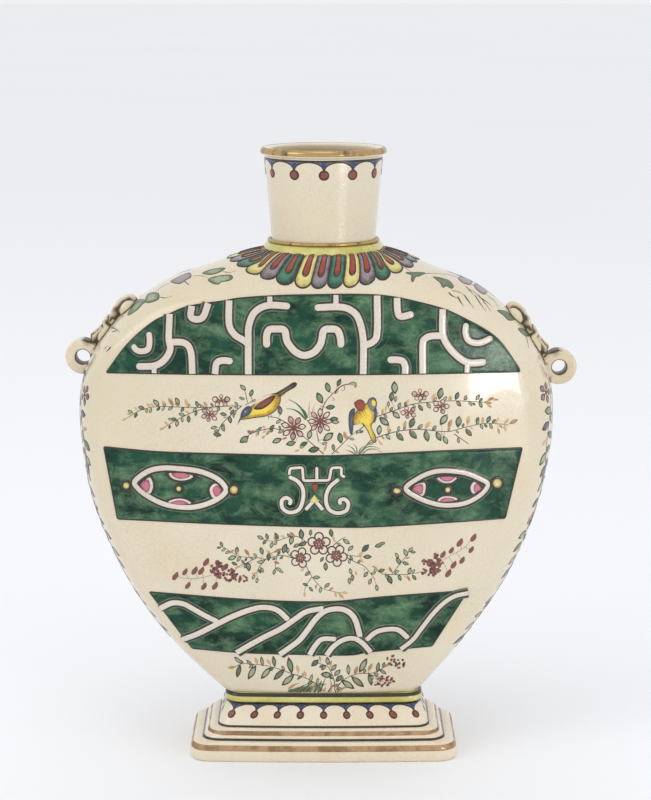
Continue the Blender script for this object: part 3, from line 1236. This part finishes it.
flower(209.5, 414.7, 9, 6, 20, "pink", 0.86)
drawn("canary", "240.6,419.1 244,412.6 251.6,406.4 260.8,399.6 272.6,393.9 279.2,394 280.2,401.5 275.5,410.3"
      " 266.7,415.8 256.4,417.4 246.2,418.9", 0.12, 0.04, -0.1, 0.42)
drawn("pink", "253.4,405.6 259.4,399 266.7,394.8 273,393.8 268.6,397 260,401.6", 0.06, 0.16, 0.3)
drawn("maroon", "253.2,409.2 258.4,403.6 266.7,398.2 276,395.2 271,403.4 261.4,409.6", 0.07, 0.17, -0.2)
strokes("stem", "256,409 258,405.4|259.6,408.6 262,403.6|263.6,406.6 266.4,401.4|267.4,404.6 270.4,399.4|271,401.4"
        " 273.4,397.4", 0.6, 0.06, 0.25)
strokes("ochre", "257.8,407.6 260.4,404|261.8,407 264.4,402.6|265.6,405 268.8,400.4", 0.5, 0.05, 0.26)
strokes("ochre", "249,415.4 256,414.6 262,414|266,412.4 271,409 275,403.4|252,412.4 257,412|268,408 273,403"
        " 276.6,399", 0.7, 0.05, 0.17)
drawn("slate", "240.6,417.6 242.6,410.6 247.6,406.4 252.4,408 250,413.6 245,417", 0.1, 0.13, -0.6, 0.3)
strokes("stem", "241,417.6 237.4,424.6|243,410.4 247,407.6 251.4,408.2", 0.9, 0.12)
drawn("stem", "274.6,394.4 280,391 286,387.4 293.4,382.6 296.6,383.4 295.4,386.6 288,391 281,396.4 277,398.4", 0.1,
      0.04, -0.2, 0.36)
strokes("canary", "277,395.4 283.4,391.8 291,387", 1.0, 0.05, 0.14, 0.1)
strokes("canary", "279,397 285,393.2 292,388", 0.5, 0.05, 0.14, 0.6)
blob(ink["white"], circle(245.4, 411.6, 0.9, n=8), 0.05, 0.25)
blob(ink["stem"], circle(245.4, 411.6, 0.55, n=8), 0.04, 0.3)
strokes("stem", "268,415.8 268.6,419.6|271,414.8 272.4,418.6", 0.4)
# first row, middle: two big flowers, grass and a branch with a tendril
twig(("323.9,454.3 310.7,442.6 300.4,433.8", "318.6,441.6 316.6,430.8", "300.4,433.8 288,424 277,418 268,416.6",
     "313.4,430.4 309.4,423 306.6,419.6", "322,411 325,402.6 330.8,395.6 336.7,389.7"), 0.42,
     sage="244.2,439.4,11 257.4,430.6,5.6 259.8,428.6,5 272,427.4,7 277,440.6,10 281,431.4,6 280,410.4,9"
     " 278.4,421.6,5.6 309.6,434.6,8.6 328.3,436.8,13 335.4,422,7 334,419,8 324.6,443.4,6 302,447,5",
     fern="290.9,443.4,9.4 303.8,444,8 313.8,449.6,10.4 319.7,398,11 327.8,387.4,10 339,382.6,7.6 330.4,407.2,9.6",
     ochre="252.4,431.6,6 264.4,431.4,5 263.4,437,4.6 284.6,438.4,5.6 297,450.6,5.6 325.4,447.6,5.6 322,406.6,4.4")
strokes("fern", "306.6,419 302,409.6 296,403.4 288.6,399.4|306,420 299.6,413 293,409.4 286.6,408.8|307.6,418"
        " 304.6,411.6 300.6,407", 1.2, 0.1, 0, 0.2)
strokes("sage", "309.2,418.4 309,409 309.6,401.4", 0.7)
strokes("ochre", "311,418 313,409.4 315.4,402.6|312,416 314.6,409.6", 0.6)
for x, y, n, turn in ((293.8, 427.9, 7, 8), (320.2, 421.3, 8, 0)):
    flower(x, y, 12.6, n, turn, "pink")
twig(("334.6,394 338.6,388 345,384.8 352,384 355.6,385.4 354.4,388",), 0.5)
strokes("stem", "338.6,388 337.6,392 334.8,393.6 336.4,390.8|344,385.2 344.6,389.4 341.6,390.6 341.2,388.2|332,397.2"
        " 334.4,399.8 331.4,400.4", 0.36)
drawn("sage", "349,384 353,381.8 356.2,383.6 356,387 353.4,384.8", 0.08, 0.1, 0, 0.22)
# first row, right: two small birds side by side on a twig, grass at their feet
twig(("331.6,454.3 341,445.5 349.9,436.7 357.2,430.8",), 0.36,
     sage="333.4,447.4,7 352,439,5 358.6,431.6,6",
     fern="340.2,438,10",
     ochre="345,435.4,8 347.6,437.4,6 337,452,5")
drawn("slate", "349.4,413 352.4,409 355,409.4 353,420 353,428 351.8,434.4 350,432.6 348.8,422", 0.09, 0.04, -0.6,
      0.34)
drawn("slate", "373.4,405 376.6,409.6 376.4,417.6 373.8,423 372.4,415", 0.08, 0.04, -0.6, 0.3)
drawn("canary", "353.4,424 353.4,417 357,411 362,407 367,403.4 371.4,405 374,411 374.4,419.6 371,426 374.4,434.6"
      " 376.2,441.2 373,442.2 369,433.6 365.2,426.6 361,422.2 357,420.2 354.6,424.6", 0.12, 0.06, -0.1, 0.4)
drawn("brick", "354.6,404 356.6,401 360.6,399.6 364,402 365,407 362,411.4 357,409", 0.08, 0.14, 0.2, 0.3)
drawn("slate", "367.6,402.6 369.8,398.4 374,397.8 376.4,401.4 376,407.8 373,411 369.4,408.4", 0.08, 0.13, 0.1, 0.34)
drawn("canary", "371,401.4 372.6,398.8 375.4,400.4 376,404.6 373.6,407.2 371.6,405", 0.06, 0.27, 0.0, 0.2)
strokes("white", "372.6,400.4 374,402.4 373.8,405", 0.8, 0.05, 0.32)
strokes("maroon", "361,409.4 363.6,413.6 366.8,418.4|363.6,409 366,413.4 368.6,417|359,411 361,415.4 363.6,419", 0.8,
        0.08, 0.18)
strokes("ochre", "369.6,408 371.4,414 370.6,421|356,417 359,414|366.6,423 370,431 373,438", 0.7, 0.06, 0.19)
strokes("stem", "374,434 375.8,441.6|370.4,428 373.4,437 374.6,442|355.6,401.6 353.6,403.6", 0.5, 0.06, 0.18)
blob(ink["stem"], circle(358.4, 403.2, 0.6, n=8), 0.05, 0.3)
twig(("356,434.4 361,428.6 366,424.6 374.8,417.6 395.4,410.3 411.5,404.4 429.1,402.2 454,400.8 481.9,402.2"
     " 486,402.6",), 0.38, grow=1.15, gap=7.5,
     sage="394.6,387.6,10 391.6,396.6,8.6 395.6,399,5.4 388.4,404,5 399.4,405.6,6 396.2,415,9 384.2,421.4,9.6"
     " 420.6,407.8,6.4 428.6,405.6,6 440.4,393.4,9.6 445,398.6,5 457,395.8,6.4 465.4,397.6,4.4 477.8,397.4,6.4"
     " 458.6,403.6,5.6 470.4,403.6,5.4 480.6,404.8,5.4",
     ochre="433.6,396.6,7 449.6,398.6,6.6 488,402.6,7 490.8,399,6 489.4,406,5.6 407.6,401.8,5 382.6,411.6,6.4"
     " 386,408,5 495.6,399.6,5")
twig(("366,446 369.6,441.6 374.8,438.2 390.9,433 405.6,430.1 421.8,429.4 446.7,431.6 465.8,427.2 483.4,423.5"
     " 502.4,424.2 508,425.4",), 0.4, grow=1.15, gap=7,
     sage="388,436.7,6.6 399.8,436.7,9.4 413,434.5,9.4 426.6,436,10.4 438.6,436.4,8 379.2,430,7.6 398.6,428.6,4.6"
     " 412,422.8,8.6 420.6,426.6,5.6 434.4,427.4,4.6 443.8,419.6,9.6 458.6,421.6,9 468.6,432.4,8 477.4,420.2,6"
     " 481.6,426.6,5.4 488.6,419.4,6 491,426.4,5.4 445.4,440,8",
     ochre="388.4,428.6,6 404.8,424.6,7.4 427.6,425,8 449.8,424,9 468,420.2,8.6 497,420.4,6 506.4,421.4,6"
     " 513.6,421.6,8 505,428.4,6 498.6,431,5 380.6,443,6 482.6,420.4,6")
twig(("454,433.8 461,438.6 468.7,444",), 0.4, sage="458.4,440.4,6")
for x, y, r, turn, squash in ((420.3, 395, 8.6, 20, 0.62), (408.6, 412.5, 7.6, 40, 0.8), (440.8, 406.4, 8, 0, 0.85)):
    flower(x, y, r * 1.12, 5, turn, "pink", squash)
strokes("sage", "356,454 353,448.6 347,445|357,454 356.6,448 353.6,443.6|358.4,454 360.6,448.6 364.6,445.6|360,454"
        " 366,447.6 373,446.6 380,449|362,454.4 368,449.6 376,449.4 381.6,452.4|359,454 366.6,445.4 374.4,442.6|"
        "355,454 350,451.4 345.4,450", 0.8, 0.1, 0, 0.1)

# second row: three round blossoms, leafy twigs, and maroon berries at both ends
twig(("296,559 281,555.4 265.8,559.1 257,557.6 239.4,556.2 226.2,548.8 222,546", "257,557.6 245,563.6 236.4,567.2",
     "266,559 259.6,566.6 256,574", "277.6,553.6 275.6,563 275.2,569.6", "305,541 297,536.4 287,537.6 276,541"
     " 265,540.6", "290,556 283.6,549.6 276,551 268,555.4"), 0.34, grow=1.2, gap=9,
     sage="221.4,544.2,4.6 219,547.6,4 223.6,549.8,4 236.8,550.4,6 232.2,557.8,6.6 238.8,559,5 234.4,563.6,5"
     " 248.4,566.6,7 243,562,4 260,562.4,4.6 262,570,5 257,580.4,5 253.6,577,4.4 274.2,572,5 278.4,569.4,5"
     " 281,571.4,4.6 260.4,537.6,5.4 264.6,542,5 267,536.6,5 271.6,545,5 276.6,536,6 291.4,540.4,7 289,535.4,4.6"
     " 296.6,545.6,6.4",
     fern="268.6,556.8,7 261.6,550.8,6 284.6,548.6,8.6 301.4,534.2,7.6 303,543.8,7.6 310.6,532.6,5",
     ochre="247,552.4,7 231.6,551.6,5 275.6,539,5.4 292.6,534.6,6 268.6,552,5 277.6,550.6,6.6 276.6,562.6,5.4"
     " 254.4,573.4,5 236,568.4,4")
twig(("345.9,557 355,562 364.3,566.2 371,574 375,580", "345.9,555 354,556 361.4,556.6", "333,546 340,540 346,537",
     "381.1,573.9 398,574.6 410.2,573.9 422.5,571.6", "372,566 377,569 382,574", "392,574 399,565 406,556 411,549.4"),
     0.34, grow=1.2, gap=9,
     sage="346.4,541.6,6 350.6,548.2,6 322,559.4,5 325.6,566.6,7 350.6,571.4,5.4 352.4,577.6,5.4 349.4,581,5"
     " 370,581.6,5.6 376.8,587.8,5.6 365.8,574.4,5 378.6,545.6,6 382,543.6,5 367.4,556.8,7 405.6,552.6,6 398.4,561,6"
     " 397,555.4,5 410.6,549.6,5.4 413,552,4.6 409.6,571,6 414.2,577.4,5 381.4,570.6,5.4",
     fern="365.4,548.2,8 389.6,579.4,8 331.2,533,7 399.6,577.6,6 405.6,563.4,6",
     ochre="360.4,554.4,6 361.6,560.4,5 375.8,568.6,5.6 390.4,569.6,6 408.8,578.6,5.6 333.4,538.4,5 356,573,4")
twig(("306.1,566.2 312.2,577 318.4,584.6 324.5,589.2 334,591.6 340,593", "312,577 307,584 304.6,590"), 0.3, grow=1.2,
     sage="307.6,573.6,5 316.6,577.4,5.4 305.4,584.6,5 311,589.2,4.6 320.4,590,5 327,585.4,5.4",
     ochre="302.6,569.4,5 341,595.6,6 344.6,592.6,5.4 304.6,594.4,5 331,589,4.6 335.6,594.4,5 316,586.6,4")
for x, y, r, turn in ((319, 544, 12.4, 90), (336.4, 555.5, 11.8, 60), (300.4, 557.8, 11, 75)):
    blossom(x, y, r, turn)


def cluster(x0, x1, y0, y1, n, r, lean):
    """A heap of n small berries in an oval."""
    for _ in range(n):
        a, d = random.uniform(0, 360), math.sqrt(random.random())
        x = (x0 + x1) / 2 + d * cosd(a) * (x1 - x0) / 2
        y = (y0 + y1) / 2 + d * sind(a) * (y1 - y0) / 2 + lean * (x - (x0 + x1) / 2)
        k = r * random.uniform(0.75, 1.2)
        blob(ink["maroon"], circle(x, y, k, n=8), 0.12, 0.03, shade=random.uniform(-0.4, 0.5))


def stalks(texts, width, lift):
    for text in texts:
        ribbon(ink["stem"], spline(P(text), 1.5), width, lift)


def berries(text, stems, r):
    """Long berries on their stalks, each with a dark stroke."""
    stalks(stems, 0.24, 0.08)
    for q in P(text):
        k = r * random.uniform(0.95, 1.25)
        drop = [Vector((k * 0.95 * cosd(30 * i) * (1 - 0.5 * max(0, sind(30 * i))), -k * 1.4 * sind(30 * i)))
                for i in range(12)]
        drop = [q + Vector((d.x - 0.45 * d.y, d.y)) for d in drop]
        blob(ink["maroon"], drop, 0.16, 0.04, rings=FULL, shade=random.uniform(0.0, 0.6))
        strokes("stem", f"{q.x:.1f},{q.y - 0.6 * k:.1f} {q.x + 0.3:.1f},{q.y + 0.5 * k:.1f}", 0.3, 0.04, 0.2)


cluster(210, 236, 561.5, 581, 70, 1.7, 0.25)
cluster(232, 247, 572, 583, 18, 1.3, 0.2)
berries("206.3,562 185.1,571.8 175.5,576 194.8,570.6 201.4,570.8 188,585.4 204.1,586.2 215.2,585.8",
        ("176,576 186,578.4 200,578 212,575", "188,585 192,578.6", "185.6,572 188,578.4", "195,571 198,578",
        "201.6,571 203.6,577.6", "204,586 203,578", "206.6,562 214,570", "215,585.6 216.6,578",
        "236,568 245,566 252,562"), 2.7)
cluster(420, 443, 554, 576, 66, 1.7, -0.2)
berries("443.1,554.4 451.5,550.2 460,542.5 471.4,549.6 462.3,560.2 453.8,564.7 448.5,573.1 473.6,537.6",
        ("434.7,564.7 449,556.6 463.8,547.9 474,537", "443.4,554.6 446,558.4", "451.6,550.4 453.6,553.8",
        "460.2,543 461.6,549", "471,549.8 465,547.4", "462,560 456,552.4", "453.6,564.4 449,557",
        "448.4,573 443,562"), 2.6)

# third row: willow leaves, grass and two heads of dots
twig(("323.6,691 309.6,679.8 291.4,673.5 270.3,666.5 250,663.9 242.2,663.7 233.8,667.2",), 0.4, grow=1.3, wide=0.36,
     gap=11,
     sage="238,660.2,7 238.6,671,9 252,672.4,11 266,673,11 249.4,662.8,6 262,661.4,7 287.9,680.2,12 279,674.6,11"
     " 299.6,677.6,5 311,678.4,6 317.4,681.4,5",
     fern="274,661.4,9 290.2,665.4,11",
     ochre="297.7,668.6,6 256.3,660.8,6 268.9,662,6 231.6,667.4,6 305,673.6,5")
twig(("334.9,691 334.2,681.2 331,672 326.4,665.8 315.2,662.3",), 0.4, grow=1.15, gap=9,
     sage="315,663,7.6 327.6,661,7 323.6,667.6,6 333.8,667.6,6.6 337.4,672.8,7 326.4,674.8,10 339,678.4,7",
     ochre="320,658.6,5 330.6,663.4,4.6")
twig(("335,692.4 342,681.2 356,674.2 373,672.8 384.2,667.2 389,663.6", "367.3,673.5 375,676 381.4,677"), 0.4,
     grow=1.3, wide=0.36, gap=11,
     sage="348.4,669.6,7 363.1,665.4,11 357.5,681.6,12 347.7,684.4,11 370.2,679.6,9 378,667.4,8 382.6,671.6,6.4",
     ochre="356,670.4,7 370.2,667,6 386.6,665.4,5 376.6,678.4,4.6")
strokes("sage", "292,692 297,688.6 303,686|297,692.4 302.6,688 309,685.4|303.6,692.4 308,686 314,681.6|309,692.4"
        " 313,687.4 319,684.4|314,692.4 317.6,686.4 322,680.6|318,692.4 321,687 326,683.6|288,691.6 293,690.4"
        " 300,690", 2.1, 0.1, 0, 0.1)
strokes("stem", "295,692 301.6,686.6 309.6,683|306,692.4 312.6,684|320.6,692 322.6,684.6 325.6,678|300,692.4 306,688"
        " 314,686|328,692 333,686 341,683|337,692.4 341,688.6 348,687.4", 1.1)
strokes("ochre", "311,692 314.6,684.6 319.6,679|323.6,692 326,686.6|288,689 295,684.6 300,683|338,692 346,686.6"
        " 352,686|330,692.4 331.6,685 330,680", 1.8)
cluster(387, 405, 655, 668, 30, 1.3, 0.2)
cluster(374.4, 394, 676, 688, 34, 1.3, -0.1)
stalks(("384,667 389,663 396,661", "386,666 392,665.6 398,665.6", "370,684 377,681.6 384,681.6"), 0.22, 0.1)

# ------------------------------------------------ the side bands
FLANK = {}
SIDE_ROWS = 20  # the rows of the skin from the seam to just past the crease
for s in (1, -1):
    cols, d = [], 0.0
    for i in range(NK, NK + SH + FL + 1):
        k = i if s > 0 else (2 * HN - i) % RING
        ps = [outer[j][k] for j in range(SIDE_ROWS)]
        w = [0.0]
        for a, b in zip(ps, ps[1:]):
            w.append(w[-1] + (b - a).length)
        if cols:
            d += (ps[0] - cols[-1][2][0]).length
        cols.append((d, w, ps, [vert_n[j * RING + k] for j in range(SIDE_ROWS)]))
    FLANK[s] = cols


def flank(s, d, w):
    """The side band of side s: d mm along the seam from the collar, w mm across it, to the front if w > 0."""
    cols, out = FLANK[s], []
    i = 0
    while i < len(cols) - 2 and cols[i + 1][0] < d:
        i += 1
    for _, across, ps, ns in (cols[i], cols[i + 1]):
        j = 0
        while j < len(across) - 2 and across[j + 1] < abs(w):
            j += 1
        t = (abs(w) - across[j]) / (across[j + 1] - across[j])
        out.append((ps[j].lerp(ps[j + 1], t), ns[j].lerp(ns[j + 1], t)))
    t = (d - cols[i][0]) / (cols[i + 1][0] - cols[i][0])
    p, n = out[0][0].lerp(out[1][0], t), out[0][1].lerp(out[1][1], t).normalized()
    if w < 0:
        p, n = Vector((p.x, -p.y, p.z)), Vector((n.x, -n.y, n.z))
    return p, n


# leaves and flowers on the shoulders
for kind, shade, edge_w, text in (
        ("sage", -0.1, 0.42, "208.1,279.5 212.9,277.1 222.5,275.2 231.1,275.2 232.5,278.5 228.2,280.9 221.5,281.9"
                             " 218.6,284.3 213.8,283.8 210,281.9"),
        ("sage", -0.4, 0.42, "202.4,273.3 208.1,270.4 216.7,268.5 225.3,268 220.5,271.8 213.8,274.2 208.1,274.7"),
        ("mauve", 0.1, 0.42, "170.8,281.9 179.4,283.8 186.1,280 190.9,277.1 189.9,272.8 182.3,275.2 174.6,279"),
        ("sage", -0.3, 0.34, "153.6,292.4 158.4,293.4 159.3,298.1 155.5,301 147.8,303 145,300.6 147.8,294.3"),
        ("sage", -0.5, 0.34, "146.4,301.4 143,303.9 136.4,310.6 127.7,315.4 132.5,305.8 140.2,299.1"),
        ("sage", -0.7, 0.42, "405.5,272.8 413.7,272.2 424.9,272.8 419.8,275.8 415.7,276.8 412.7,282 411.1,279.4"
                             " 411.6,275.4"),
        ("sage", -0.7, 0.42, "433.1,276.8 441.2,277.9 449.4,280.9 453.5,286 451.4,288.6 446.3,286 442.8,287.6"
                             " 440.2,283 436.1,279.4"),
        ("sage", -0.9, 0.42, "497.3,310.5 503.5,310.5 509.6,313.6 515.7,316.6 514.7,319.7 508.6,320.2 503.5,315.6"),
        ("mauve", 0.2, 0.42, "458,277.6 466,277 472,281 470,284.6 463,283"),
        ("mauve", 0.2, 0.42, "474,284.4 482,285.6 487,291 484,294.4 477,290")):
    drawn(kind, text, 0.08, 0.02, shade, edge_w)
strokes("mauve", "156.4,291.4 163,286 170.8,282.8|189,284.8 183,280.6 176,279.6|398.4,261.8 404,263 410.6,266.6|"
        "400,266 406,268.4 411,272|445.3,273.8 453.5,275.8 466.7,280.9 480,290.1 495.3,300.3|486,292 492,290.4"
        " 497,294.4|447,270.6 456,271.4 464,275", 1.0)
strokes("stem", "192.8,276.1 200.4,275.7 208.1,277.6|417.8,276.8 423.9,273.8 433.1,273.3 445.3,274.3|222.6,271.6"
        " 230,272.4 236,270.6|211,280.6 219,278.6 229,277.6|206,272.8 213,271.2 221,269.4|133,311 139,305 145,300.6|"
        "147,299.6 152,296.6 157,295|437,278.6 444,281 451,285.6|413,274.2 418,274 422,273.6|501,312.4 507,315"
        " 513,318.4|160,297 166,298 172,296", 0.6)
strokes("stem", "448.4,292.1 452,295.6 457.6,298.2|457.6,296.2 460,301 463.7,306.4|463.7,294.2 468,300.4 473.9,308|"
        "474.9,295.2 480,303 486.1,311.5|478,294.2 484.6,302.6 491.2,311.5|482,298.3 487.6,302.6 492.2,306.4|466,286"
        " 470,291 475,296", 1.15)
strokes("sage", "452,290.4 460,292.4 466,296.6|468,288.6 475,292.6 481,299.4|488,296.6 494,301 499,307.6", 1.2)
drawn("sage", "518,328.6 522,328 527,331.6 529.6,335.4 526,336.4 521,332.6", 0.08, 0.02, -0.7, 0.3)
strokes("fern", "525.3,335.9 527.4,341 528.8,347.9", 1.0, tone=-0.2)
strokes("slate", "111,327.8 115,328.6 119.7,332.3|112,331.6 116,331 119,330|107,346 104,349.6", 1.1)
strokes("stem", "111,346.6 108.6,349.4 106,352", 1.3)

# winding twigs down the side bands, seen from the sides; lengths here are mm along and across the band
START = 98  # where the twigs begin
for s in (-1, 1):
    def on_side(d, w, s=s):
        return flank(s, d, w)

    bloom = 114 if s < 0 else 107  # the place of the first flower
    for half in (1, -1):
        wave = random.uniform(0, 360) if half < 0 else (150 if s < 0 else 215)

        def winding(q, wave=wave):
            return 11 + (2.6 - 0.05 * q) * sind(52 * q + wave)

        stem = [(START + 7 * k, half * winding(k)) for k in range(21)]
        text = {"sage": "", "slate": "", "ochre": ""}
        for k in range(2, 40):
            d = START + 3.6 * k + random.uniform(-0.8, 0.8)
            w = winding((d - START) / 7)
            out = (1 if k % 2 else -1) * random.uniform(2.5, 3.5)
            if abs(d - bloom) > 7 and d < 238:
                kind = ("sage", "sage", "slate", "sage", "ochre")[k % 5]
                size = random.uniform(5.4, 7.6) * (0.7 if kind == "ochre" else 1)
                text[kind] += f" {d:.1f},{half * (w + out):.1f},{size:.1f}"
        twig((stem,), 0.45, on_side, ring_ink, 2.0, **text)
        for d, w, r in ((bloom, 14.5, 5.2), (168, 10.5, 4.6), (212, 11, 4)):
            flower(d, half * w, r, 5, random.uniform(0, 72), "mauve", lay=on_side, inks=ring_ink)
        leaf("slate", 146, half * (14 if s < 0 else 10.5), 10, 172, 0.4, on_side, ring_ink)
    for w in (-1, 1):  # a short spray under the loop
        twig(([(104, 0), (112, 3 * w), (122, 2 * w), (132, 5 * w)],), 0.4, on_side, ring_ink, 2.0,
             sage=f"108,{5 * w},6 114,{-0.5 * w},5 118,{6 * w},6.4 128,{7 * w},5.6",
             ochre=f"133,{5.6 * w},5 125,{0.4 * w},4.6")

for stroke_set in Ink.all:
    stroke_set.finish()

# ------------------------------------------------ the two masks and their loops
LUMPS = [((-9.5, 0, 0.3), (7.5, 6.2, 4.4)), ((-11, 6, -1.0), (4.2, 3.0, 3.2)), ((-1.5, 0, 0.2), (4.6, 7.2, 4.0)),
         ((1.5, 4.2, 1.5), (3.2, 2.6, 2.6)), ((6.2, 0, 0.3), (7, 4.6, 3.5)), ((4.5, 4.9, -1.0), (5, 3, 3)),
         ((9.4, 0, 2.1), (2.6, 3, 2.2)), ((13, 0, -0.4), (4.4, 4.3, 3.2)), ((-6.5, 3.2, 2.6), (3.0, 1.5, 1.8))]
GROOVES = [("-15,4.2 -9,4.6 -5,5.4 -1.5,6.2", 1.3, 0.85), ("-2.8,0 -2.8,2.2 -1.6,4.4 0.2,6.6", 1.0, 0.7),
           ("2.4,2.4 2.9,5.6", 1.0, 0.8), ("5,5.2 11.5,3.4", 0.9, 0.6), ("5.6,2.6 12,1.4", 0.8, 0.55),
           ("10.8,1 10.6,1.8", 0.9, 0.6), ("-12,0 -6.4,0", 0.6, 0.6), ("11.9,0 12.1,2.2 12.6,4", 0.9, 0.6)]


def mask(s, at, slope, name, node):
    """Lumps of clay pressed together down the ridge of side s, then cut with grooves."""
    lump_rows, lump_cols = 15, 26
    vs, fs = [], []
    for (cx, cy, cz), (rx, ry, rz) in LUMPS:
        for m in (1, -1) if cy else (1,):
            fs += quads(lump_rows, lump_cols, len(vs))
            for i in range(lump_rows):
                for j in range(lump_cols):
                    a, e = 360 * j / lump_cols, -90 + 180 * i / (lump_rows - 1)
                    vs.append((cx + rx * cosd(a) * cosd(e), cy * m + ry * sind(a) * cosd(e), cz + rz * sind(e)))
    raw = make("clay_lumps", vs, fs, scale=1.0)
    join = raw.modifiers.new("join", "REMESH")
    join.mode, join.voxel_size = "VOXEL", 0.42
    me = bpy.data.meshes.new_from_object(raw.evaluated_get(bpy.context.evaluated_depsgraph_get()))
    bpy.data.objects.remove(raw)
    bm = bmesh.new()
    bm.from_mesh(me)
    for _ in range(3):
        bmesh.ops.smooth_vert(bm, verts=bm.verts, factor=0.5, use_axis_x=True, use_axis_y=True, use_axis_z=True)
    bm.normal_update()
    cuts = [(spline(P(t), 0.7), depth, w) for t, depth, w in GROOVES]
    out, tones = [], []
    for v in bm.verts:
        q = Vector((v.co.x, abs(v.co.y)))
        dip = tone = 0.0
        for pts, depth, w in cuts:
            d = min((q - p).length for p in pts)
            if d < 4 and v.co.z > -1:
                dip = max(dip, depth * math.exp(-(d / w) ** 2))
                tone = max(tone, 0.85 * math.exp(-(d / (1.25 * w)) ** 2))
        c = v.co - v.normal * (dip - 0.25 * noise.noise(v.co / 2.2))
        p = at + Vector((s * cosd(slope), 0, -sind(slope))) * c.x + Vector((s * sind(slope), 0, cosd(slope))) * c.z
        p.y = s * c.y
        near = tree.find_nearest(Vector((p.x, -abs(p.y), p.z)))[3]
        out.append(p)
        tones.append(max(tone, 0.9 * math.exp(-(near / 0.6) ** 2)) + 0.12 * noise.noise(v.co / 3))
    ob = make(name, out, [[v.index for v in f.verts] for f in bm.faces], MASK)
    bm.free()
    toned(ob, tones)
    ready(ob, (node,))


def loop(s, cx, cz, name, node):
    """A fixed ring of clay round (cx, cz), with a lump of glaze where it meets the mask."""
    prof = arc(7, 3.5, 1, 90, 0, 6) + arc(7, -3.5, 1, 0, -90, 6)
    prof += arc(4.1, -3.7, 0.8, -90, -180, 6) + arc(4.1, 3.7, 0.8, 180, 90, 6)
    ob = lathe(name, prof, MASK, 0.012, 96)
    ob.data.transform(Matrix.Translation((cx * S, 0, cz * S)) @ Matrix.Rotation(math.pi / 2, 4, "X"))
    tones = []
    for v in ob.data.vertices:
        p = v.co / S
        r = math.hypot(p.x - cx, p.z - cz)
        near = tree.find_nearest(Vector((p.x, -abs(p.y), p.z)))[3]
        join = math.hypot(p.x - cx + s * 2.6, p.z - cz - 7.6) + 2.4 * max(0, 7.7 - r)
        tones.append(max(1.1 * math.exp(-((r - 3.2) / 0.55) ** 2), 0.7 * math.exp(-(near / 0.7) ** 2),
                         1.1 * math.exp(-(join / 3.4) ** 2)))
    toned(ob, tones)
    ready(ob, (node,))


mask(-1, Vector((-96.9, 0, 200.3)), 49.2, "left_mask_clay", "left_mask")
mask(1, Vector((94.0, 0, 196.0)), 54.6, "right_mask_clay", "right_mask")
loop(-1, -110.0, 185.4, "left_loop_clay", "left_loop")
loop(1, 107.8, 180.6, "right_loop_clay", "right_loop")

# ------------------------------------------------ floor, backdrop and lights, in metres
paper = Nodes("studio_paper", 0.9)
tone = paper.mix(paper.span(paper.noise(0.6, 2), 0.3, 0.7), (248, 249, 252), (246, 247, 250))
paper = paper.done(tone, None, paper.bump(paper.noise(90, 2), 0.05, 0.001))
SPOKES, RADII = 72, (0.001, 0.5, 1, 2, 5, 12, 40)
verts = [(r * cosd(360 / SPOKES * i), r * sind(360 / SPOKES * i), 0) for i in range(SPOKES) for r in RADII]
faces = quads(SPOKES, len(RADII), ring=False, wrap=True, flip=True)
floor = weld(make("studio_floor", verts, faces, paper, 1.0), 0.002)

world = bpy.data.worlds.new("studio")
scene.world = world
world.use_nodes = True
sky = world.node_tree.nodes["Background"].inputs
sky["Color"].default_value, sky["Strength"].default_value = (0.985, 0.99, 1.0, 1), 0.9


def softbox(name, at, aim, size, watts):
    lamp = bpy.data.lights.new(name, "AREA")
    lamp.shape, lamp.size, lamp.size_y, lamp.energy = "RECTANGLE", size[0], size[1], watts
    ob = bpy.data.objects.new(name, lamp)
    scene.collection.objects.link(ob)
    ob.location = at
    ob.rotation_euler = (Vector(aim) - Vector(at)).to_track_quat("-Z", "Y").to_euler()


softbox("key_left", (-1.55, -0.85, 1.2), (0, 0, 0.12), (1.1, 1.1), 5.8)
softbox("window_right", (0.609, -0.756, 0.146), (0.078, -0.03, 0.177), (0.2, 0.15), 1.3)
softbox("top_fill", (0.0, -0.35, 1.9), (0, 0, 0.25), (0.9, 0.9), 2.8)
scene.view_settings.view_transform = "Standard"
